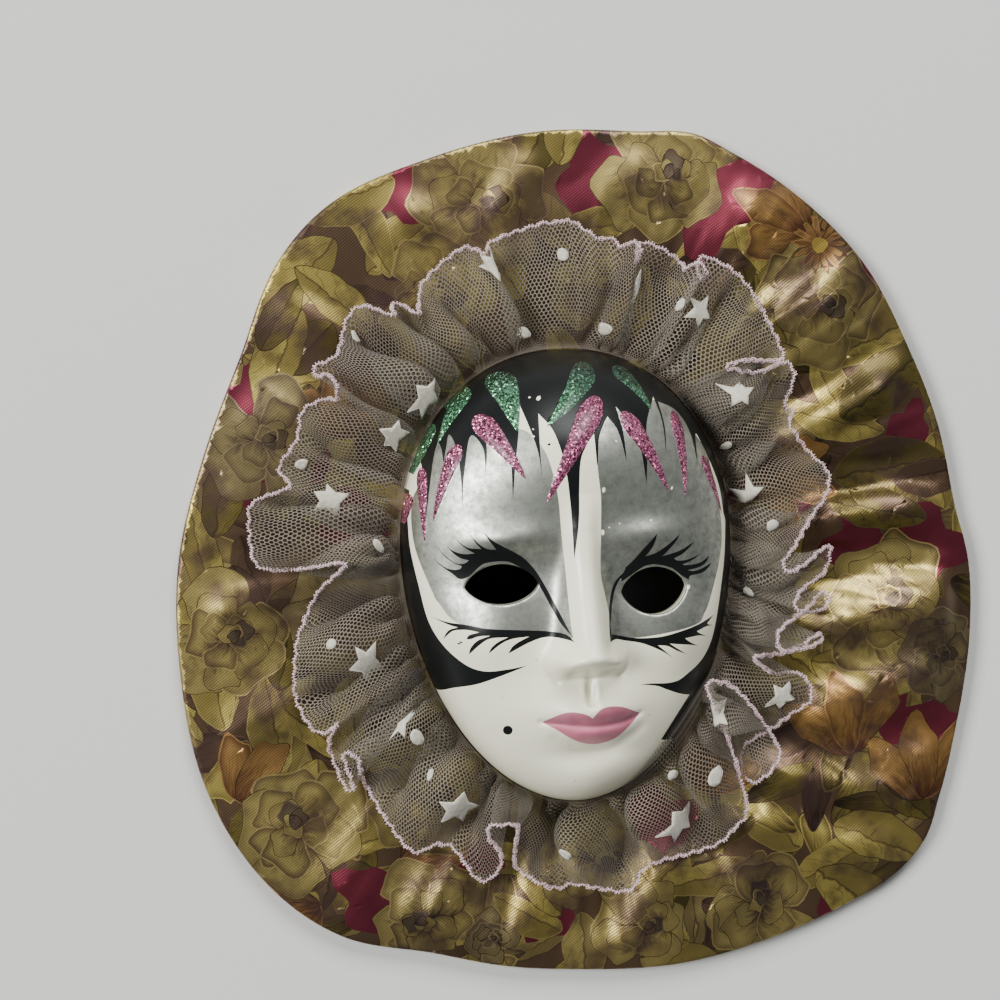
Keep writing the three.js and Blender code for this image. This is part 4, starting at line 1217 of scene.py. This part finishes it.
edge_line, edge_length = closed_path(RUFFLE_EDGE, NET_COLUMNS)
column = np.arange(NET_COLUMNS)
turn = np.unwrap(np.arctan2(edge_line[:, 1] - MASK_CENTRE[1], edge_line[:, 0] - MASK_CENTRE[0]))
drift = -2 * math.pi * column / NET_COLUMNS
lap = np.concatenate([turn + 2 * math.pi, turn, turn - 2 * math.pi])
steady = (np.minimum.accumulate(lap) + np.maximum.accumulate(lap[::-1])[::-1]) / 2
steady = steady[NET_COLUMNS : 2 * NET_COLUMNS]
root_turn = softened(steady - drift, 32) + drift

# The gathers start on the mask's steep side. At the lower right they lap over the mask's edge.
BAND = [  # direction in degrees, and how high on the mask's wall the gathers start and end
    (90, 5.5, 3.2), (135, 5.5, 3.2), (180, 5, 3.2), (225, 4.5, 3.2), (260, 4.2, 3.2), (277, 5, 3.2),
    (286, 14, 6), (294, 16.8, 9), (306, 16.8, 9), (314, 14.5, 8), (320, 10.5, 6), (330, 6, 3.4),
    (45, 6, 3.2),
]
band = closed_curve(BAND)(np.degrees(root_turn))
rows = []
local = root_turn - MASK_TILT
for share in np.linspace(0, 1, BAND_ROWS):
    wall_height = band[:, 0] * (1 - share) + band[:, 1] * share
    level = (1 - (wall_height / DOME) ** DOME_TOP) ** (1 / DOME_SIDE)
    lean = ROOT_CLEARANCE + (0.5 + 0.4 * (band[:, 1] - 3.2)) * share
    reach = level / outline_level(np.cos(local), np.sin(local)) + lean
    surface = face_height(reach * np.cos(local), reach * np.sin(local)) + ROOT_CLEARANCE
    place_x = MASK_CENTRE[0] + reach * np.cos(root_turn)
    place_y = MASK_CENTRE[1] + reach * np.sin(root_turn)
    rows.append(np.column_stack([place_x, place_y, MASK_BACK + np.maximum(wall_height, surface)]))
root = rows[-1].copy()
outward = edge_line[:, :2] - root[:, :2]
outward /= np.linalg.norm(outward, axis=1)[:, None]
scallops = SCALLOP * np.abs(np.sin(math.pi * column * edge_length / NET_COLUMNS / SCALLOP_PITCH))
wobble = softened(random.normal(size=NET_COLUMNS), 9)
free_edge = edge_line.copy()
free_edge[:, :2] += outward * (scallops - SCALLOP / 2)[:, None]
free_edge[:, 2] += EDGE_WOBBLE * wobble

# Pleats: many at the root, fewer and wider further out, as deep as the strip's length asks for.
phase_walk = softened(np.cumsum(random.normal(size=NET_COLUMNS) * 0.05), 20)
phase_walk -= np.linspace(0, phase_walk[-1] - phase_walk[0], NET_COLUMNS)
fine = 2 * math.pi * NARROW_PLEATS * column / NET_COLUMNS + 2.2 * phase_walk
broad = 2 * math.pi * BROAD_PLEATS * column / NET_COLUMNS + 1.6 * phase_walk
amount = np.clip(1 + 2.7 * softened(random.normal(size=NET_COLUMNS), 24), 0.35, 1.9)
sideways = np.column_stack([-outward[:, 1], outward[:, 0]])
for share in np.linspace(0, 1, NET_ROWS + 1)[1:]:
    row = root + (free_edge - root) * share
    row[:, 2] = root[:, 2] + (free_edge[:, 2] - root[:, 2]) * share**0.75
    row[:, 2] += BELLY * math.sin(math.pi * share) * (0.6 + 0.4 * np.sin(broad / 3))
    perimeter = np.linalg.norm(np.diff(row[:, :2], axis=0, append=row[:1, :2]), axis=1).sum()
    slack = math.sqrt(max((edge_length / perimeter) ** 2 - 1, 0.02))
    near_root = (1 - share) ** 1.3 * min(1, share * 9)
    narrow_depth = perimeter / NARROW_PLEATS / 4 * slack * 1.3 * near_root
    broad_depth = perimeter / BROAD_PLEATS / 4 * slack * 0.9 * math.sin(math.pi * share**0.8) ** 1.2
    row[:, 2] += amount * (narrow_depth * np.sin(fine) + broad_depth * np.sin(broad))
    sway = 0.75 * amount * (narrow_depth * np.cos(fine + 0.9) + broad_depth * np.cos(broad + 0.7))
    row[:, :2] += sideways * sway[:, None]
    rows.append(row)
net_grid = np.array(rows)
free = net_grid[BAND_ROWS:]
lie = CLOTH_TOP + cloth_height(free[:, :, 0].ravel(), free[:, :, 1].ravel()).reshape(-1, NET_COLUMNS)
free[:, :, 2] = np.maximum(free[:, :, 2], lie + LIE_CLEARANCE)

row_count = len(net_grid)
here = np.arange(row_count * NET_COLUMNS).reshape(row_count, NET_COLUMNS)
beside = np.roll(here, -1, axis=1)
net_faces = np.stack([here[:-1], beside[:-1], beside[1:], here[1:]], axis=2).reshape(-1, 4).tolist()
ruffle_mesh = bpy.data.meshes.new("net_ruffle")
ruffle_mesh.from_pydata((net_grid.reshape(-1, 3) * MM).tolist(), [], net_faces)
ruffle_mesh.polygons.foreach_set("use_smooth", np.ones(len(net_faces), bool))
column_width = np.linalg.norm(np.roll(net_grid[8:], -1, axis=1) - net_grid[8:], axis=2).mean(axis=0)
across_mm = np.concatenate([[0], np.cumsum(column_width)])
along_mm = np.concatenate([[0], np.cumsum(np.linalg.norm(np.diff(net_grid, axis=0), axis=2).mean(axis=1))])
left, low = np.meshgrid(across_mm[:-1], along_mm[:-1])
right_side, high = np.meshgrid(across_mm[1:], along_mm[1:])
cloth_map = np.stack([left, low, right_side, low, right_side, high, left, high], axis=2)
ruffle_mesh.uv_layers.new(name="cloth").data.foreach_set("uv", cloth_map.ravel() + 10)

# The net's look: round holes in a thread-coloured sheet, staggered in rows and laid out in the cloth's own
# millimetres.
net = Finish("tulle_net", Roughness=0.75, Sheen_Weight=0.2)
cloth = net.node("UVMap", uv_map="cloth")[0]
row_pitch = 0.78 * NET_PITCH
distances = []
for shift in ((0, 0, 0), (NET_PITCH / 2, row_pitch, 0)):
    moved = net.vectors("ADD", cloth, shift)
    in_cell = net.vectors("MODULO", moved, (NET_PITCH, 2 * row_pitch, 1))
    from_middle = net.vectors("SUBTRACT", in_cell, (NET_PITCH / 2, row_pitch, 0))
    distances.append(net.vectors("LENGTH", from_middle, output="Value"))
nearest = net.maths("MINIMUM", *distances)
net.feed("Alpha", net.ramp(nearest, (0.365, 0), (0.40, 1)))
net.colour(net.noise(60), (0.3, (0.10, 0.083, 0.06)), (0.7, (0.175, 0.148, 0.11)))
net.bump(nearest, 0.1, 0.5)
ruffle_mesh.materials.append(net.material)
ruffle = add_object("net_ruffle", ruffle_mesh)

# Flocked stars and dots. Short cream fibres stand in adhesive that is printed on the flat net, so each patch
# follows the net's bend. They lie a little proud of its upper side.
STARS = [  # place, size and turn in degrees
    (23, -68, 5.4, 0), (40, 15.5, 5.2, 10), (-49, -40, 5.2, 20), (-57.5, -24.5, 5, 15), (-50.5, 31, 4.8, 30),
    (-25.5, 74.5, 4.8, 40), (-66, 15.5, 5, 10), (-34.5, -63, 5, 60), (28, 63, 4.8, 70), (36.5, 42.5, 4.4, 50),
    (12.5, 69, 4.6, 80), (31.5, -38.5, 5.2, 20), (51, -37, 4.6, 40), (-43.5, 41, 4.8, 20),
]
DOTS = [  # place and size
    (-6.5, 77.5, 1.7), (21, 64.5, 1.7), (33.5, 27, 1.7), (31, -55.5, 1.9), (-53.5, 4.5, 1.6),
    (-68.5, -1, 1.7), (-45, -44.5, 1.6), (46, 8, 1.5), (3, 58, 1.6), (-73.5, 24.5, 1.6), (40.5, -9.5, 1.6),
    (-16.5, 58, 1.6), (17, -54, 1.6), (-8, -74.5, 1.6), (-61, 58, 1.5), (-66.5, -19, 1.5), (-41, -53, 1.5),
]
FLOCK_BASE, FLOCK_TOP, FLOCK_PITCH = 0.1, 0.5, 0.8
FIRST_ROW, LAST_ROW = 6, -3  # the rows of the net that carry the flock
FLOCK_SEARCH = 0.8  # how far beyond the nearest point of the net a patch looks for the uppermost layer
STAR_POINTS, DOT_STEPS = 5, 12
flock_points, flock_faces = [], []
gradient_k = (np.roll(net_grid, -1, axis=1) - np.roll(net_grid, 1, axis=1)) / 2
gradient_r = np.gradient(net_grid, axis=0)
net_normal = np.cross(gradient_k, gradient_r)
net_normal /= np.linalg.norm(net_normal, axis=2)[:, :, None] + 1e-9
net_normal *= np.sign(net_normal[:, :, 2:] + 1e-9)


def on_net(columns, rows_at):
    """Place and upward normal on the net at fractional columns and rows."""
    k, r = np.floor(columns).astype(int), np.clip(np.floor(rows_at).astype(int), 0, row_count - 2)
    column_share, row_share = (columns - k)[:, None], (rows_at - r)[:, None]
    k, n = k % NET_COLUMNS, (k + 1) % NET_COLUMNS

    def read(grid):
        low = grid[r, k] * (1 - column_share) + grid[r, n] * column_share
        high = grid[r + 1, k] * (1 - column_share) + grid[r + 1, n] * column_share
        return low * (1 - row_share) + high * row_share

    return read(net_grid), read(net_normal)


def add_flock(x, y, reach, angles):
    """Lays a flocked patch on the uppermost net near a place, its outline given by reaches and angles."""
    open_net = net_grid[FIRST_ROW:LAST_ROW]
    near = np.hypot(open_net[:, :, 0] - x, open_net[:, :, 1] - y)
    score = np.where(near < near.min() + FLOCK_SEARCH, open_net[:, :, 2], -1)
    r0, k0 = np.unravel_index(np.argmax(score), score.shape)
    r0 += FIRST_ROW
    window = net_grid[r0, (np.arange(k0 - 12, k0 + 13)) % NET_COLUMNS]
    per_column = np.linalg.norm(np.diff(window, axis=0), axis=1).mean()
    per_row = np.linalg.norm(net_grid[r0 + 1, k0] - net_grid[r0, k0])
    flat_patch, patch_faces, _ = cut_sheet(reach[:, None] * rays(angles), [], [], FLOCK_PITCH)
    rows_at = np.clip(r0 + flat_patch[:, 1] / per_row, 0.2, row_count - 1.3)
    seat, up = on_net(k0 + flat_patch[:, 0] / per_column, rows_at)
    start, count = sum(len(p) for p in flock_points), len(flat_patch)
    flock_points.extend([seat + up * FLOCK_TOP, seat + up * FLOCK_BASE])
    flock_faces.extend((patch_faces + start).tolist())
    flock_faces.extend((patch_faces[:, ::-1] + start + count).tolist())
    for loop in border_loops(patch_faces):
        for i, j in zip(loop, [*loop[1:], loop[0]]):
            flock_faces.append((start + i, start + i + count, start + j + count))
            flock_faces.append((start + i, start + j + count, start + j))


for x, y, size, turned in STARS:
    step = np.arange(2 * STAR_POINTS)
    points, notches = random.uniform(0.9, 1.05, len(step)), random.uniform(0.42, 0.5, len(step))
    reach = size * np.where(step % 2 == 0, points, notches)
    add_flock(x, y, reach, np.radians(turned + step * 180 / STAR_POINTS))
for x, y, size in DOTS:
    reach = size * random.uniform(0.92, 1.08, DOT_STEPS)
    add_flock(x, y, reach, np.radians(np.arange(DOT_STEPS) * 360 / DOT_STEPS))
flock = Finish("cream_flock", Roughness=0.95, Sheen_Weight=0.6)
pile = flock.noise(900, 4)
flock.colour(pile, (0.3, (0.44, 0.42, 0.33)), (0.7, (0.58, 0.55, 0.45)))
flock.bump(pile, 0.2, 0.8)
stars = closed_piece("flocked_stars", np.concatenate(flock_points), flock_faces, [flock])

# Overlocked edge. A fluffy pale pink thread runs round the net's free edge in close, uneven stitches over a
# cord, and keeps the cut net from fraying.
OVERLOCK_SIZES = {"Stitch pitch": 0.8, "Stitch reach": 0.54, "Thread radius": 0.115, "Cord radius": 0.2}


def overlock_tree():
    """Stitches of thick thread round a cord along the strip's edge."""
    tree = bpy.data.node_groups.new("overlock", "GeometryNodeTree")
    tree.interface.new_socket("Geometry", in_out="OUTPUT", socket_type="NodeSocketGeometry")
    tree.interface.new_socket("Geometry", in_out="INPUT", socket_type="NodeSocketGeometry")
    sizes = {}
    for name in OVERLOCK_SIZES:
        sizes[name] = tree.interface.new_socket(name, in_out="INPUT", socket_type="NodeSocketFloat")
    finish_socket = tree.interface.new_socket("Finish", in_out="INPUT", socket_type="NodeSocketMaterial")
    given = tree.nodes.new("NodeGroupInput").outputs
    result = tree.nodes.new("NodeGroupOutput")

    def add(kind, inputs=None, **settings):
        return add_node(tree, kind, inputs, **settings)[0]

    def circle(radius, resolution):
        return add("GeometryNodeCurvePrimitiveCircle", {"Radius": given[radius], "Resolution": resolution})

    def sweep(curve, profile):
        return add("GeometryNodeCurveToMesh", {"Curve": curve, "Profile Curve": profile})

    def chance(seed, low, high):
        return add("FunctionNodeRandomValue", {0: low, 1: high, "Seed": seed}, data_type="FLOAT_VECTOR")

    line = add("GeometryNodeMeshToCurve", {"Mesh": given["Geometry"]})
    spaced = add("GeometryNodeResampleCurve", {"Curve": line, "Length": given["Stitch pitch"]}, mode="LENGTH")
    stitch = sweep(circle("Stitch reach", 7), circle("Thread radius", 4))
    tangent = add("GeometryNodeInputTangent")
    aligned = add("FunctionNodeAlignRotationToVector", {"Vector": tangent}, axis="Z")
    lean = add("FunctionNodeEulerToRotation", {0: chance(7, (-0.5, -0.2, 0), (0.5, 0.9, 1.2))})
    turn_by = {"Rotation": aligned, "Rotate By": lean}
    turned = add("FunctionNodeRotateRotation", turn_by, rotation_space="LOCAL")
    scale = chance(8, (0.75, 0.75, 0.9), (1.25, 1.15, 1.6))
    seats = {"Points": spaced, "Instance": stitch, "Rotation": turned, "Scale": scale}
    stitches = add("GeometryNodeInstanceOnPoints", seats)
    cord = sweep(spaced, circle("Cord radius", 6))
    joined = tree.nodes.new("GeometryNodeJoinGeometry")
    for part in (stitches, cord):
        tree.links.new(part, joined.inputs[0])
    solid = add("GeometryNodeRealizeInstances", {"Geometry": joined.outputs[0]})
    finished = add("GeometryNodeSetMaterial", {"Geometry": solid, "Material": given["Finish"]})
    tree.links.new(finished, result.inputs[0])
    return tree, sizes, finish_socket


thread = Finish("pale_pink_thread", Roughness=0.7, Sheen_Weight=0.3)
thread.colour(thread.noise(700), (0.3, (0.50, 0.34, 0.36)), (0.7, (0.74, 0.56, 0.57)))

line_mesh = bpy.data.meshes.new("edge_line")
edge_vertices = (net_grid[-1] * MM).tolist()
line_mesh.from_pydata(edge_vertices, [(i, (i + 1) % NET_COLUMNS) for i in range(NET_COLUMNS)], [])
line_object = add_object("edge_line", line_mesh)
overlock, sizes, finish_socket = overlock_tree()
modifier = line_object.modifiers.new("overlock", "NODES")
modifier.node_group = overlock
for name, value in OVERLOCK_SIZES.items():
    modifier[sizes[name].identifier] = value * MM
modifier[finish_socket.identifier] = thread.material
evaluated = line_object.evaluated_get(bpy.context.evaluated_depsgraph_get())
edging_mesh = bpy.data.meshes.new_from_object(evaluated)
line_object.modifiers.clear()
bpy.data.objects.remove(line_object)
edging = add_object("overlocked_edge", edging_mesh)
for piece in (ruffle, stars, edging):
    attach(piece, "root")
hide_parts("tulle_ruffle")

# Backing card. An oval of grey board with a black face, cut a little smaller than the collar. The cloth is
# stretched over it and glued under its edge, and its black face shows through the mask's eyes.
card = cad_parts["backing_card"]
board = Finish("black_board", Roughness=0.85)
board.colour(board.noise(300, 4), (0.3, (0.006, 0.006, 0.007)), (0.7, (0.014, 0.013, 0.014)))
card.data.materials.clear()
card.data.materials.append(board.material)

# Floor and light, as in a small studio: a pale ground and soft boxes above the left and above the forehead.
ground = bpy.data.meshes.new("ground")
ground.from_pydata([(x, y, 0) for x, y in ((-3, -3), (3, -3), (3, 3), (-3, 3))], [], [(0, 1, 2, 3)])
floor = add_object("ground", ground)
ground.materials.append(Finish("pale_ground", Base_Color=(0.62, 0.62, 0.59, 1), Roughness=0.9).material)

LIGHTS = [  # name, place, size, watts
    ("left_box", (-3.0, 0.74, 2.7), 1.5, 240),
    ("forehead_box", (0.3, 2.5, 2.0), 1.45, 112),
]
for name, place_at, size, watts in LIGHTS:
    lamp = add_object(name, bpy.data.lights.new(name, "AREA"))
    lamp.data.size = size
    lamp.data.energy = watts
    lamp.location = place_at
    lamp.rotation_euler = (-Vector(place_at)).to_track_quat("-Z", "Y").to_euler()
world = bpy.data.worlds.new("studio")
world.use_nodes = True
world.node_tree.nodes["Background"].inputs[0].default_value = (0.85, 0.87, 0.9, 1)
world.node_tree.nodes["Background"].inputs[1].default_value = 0.2
bpy.context.scene.world = world
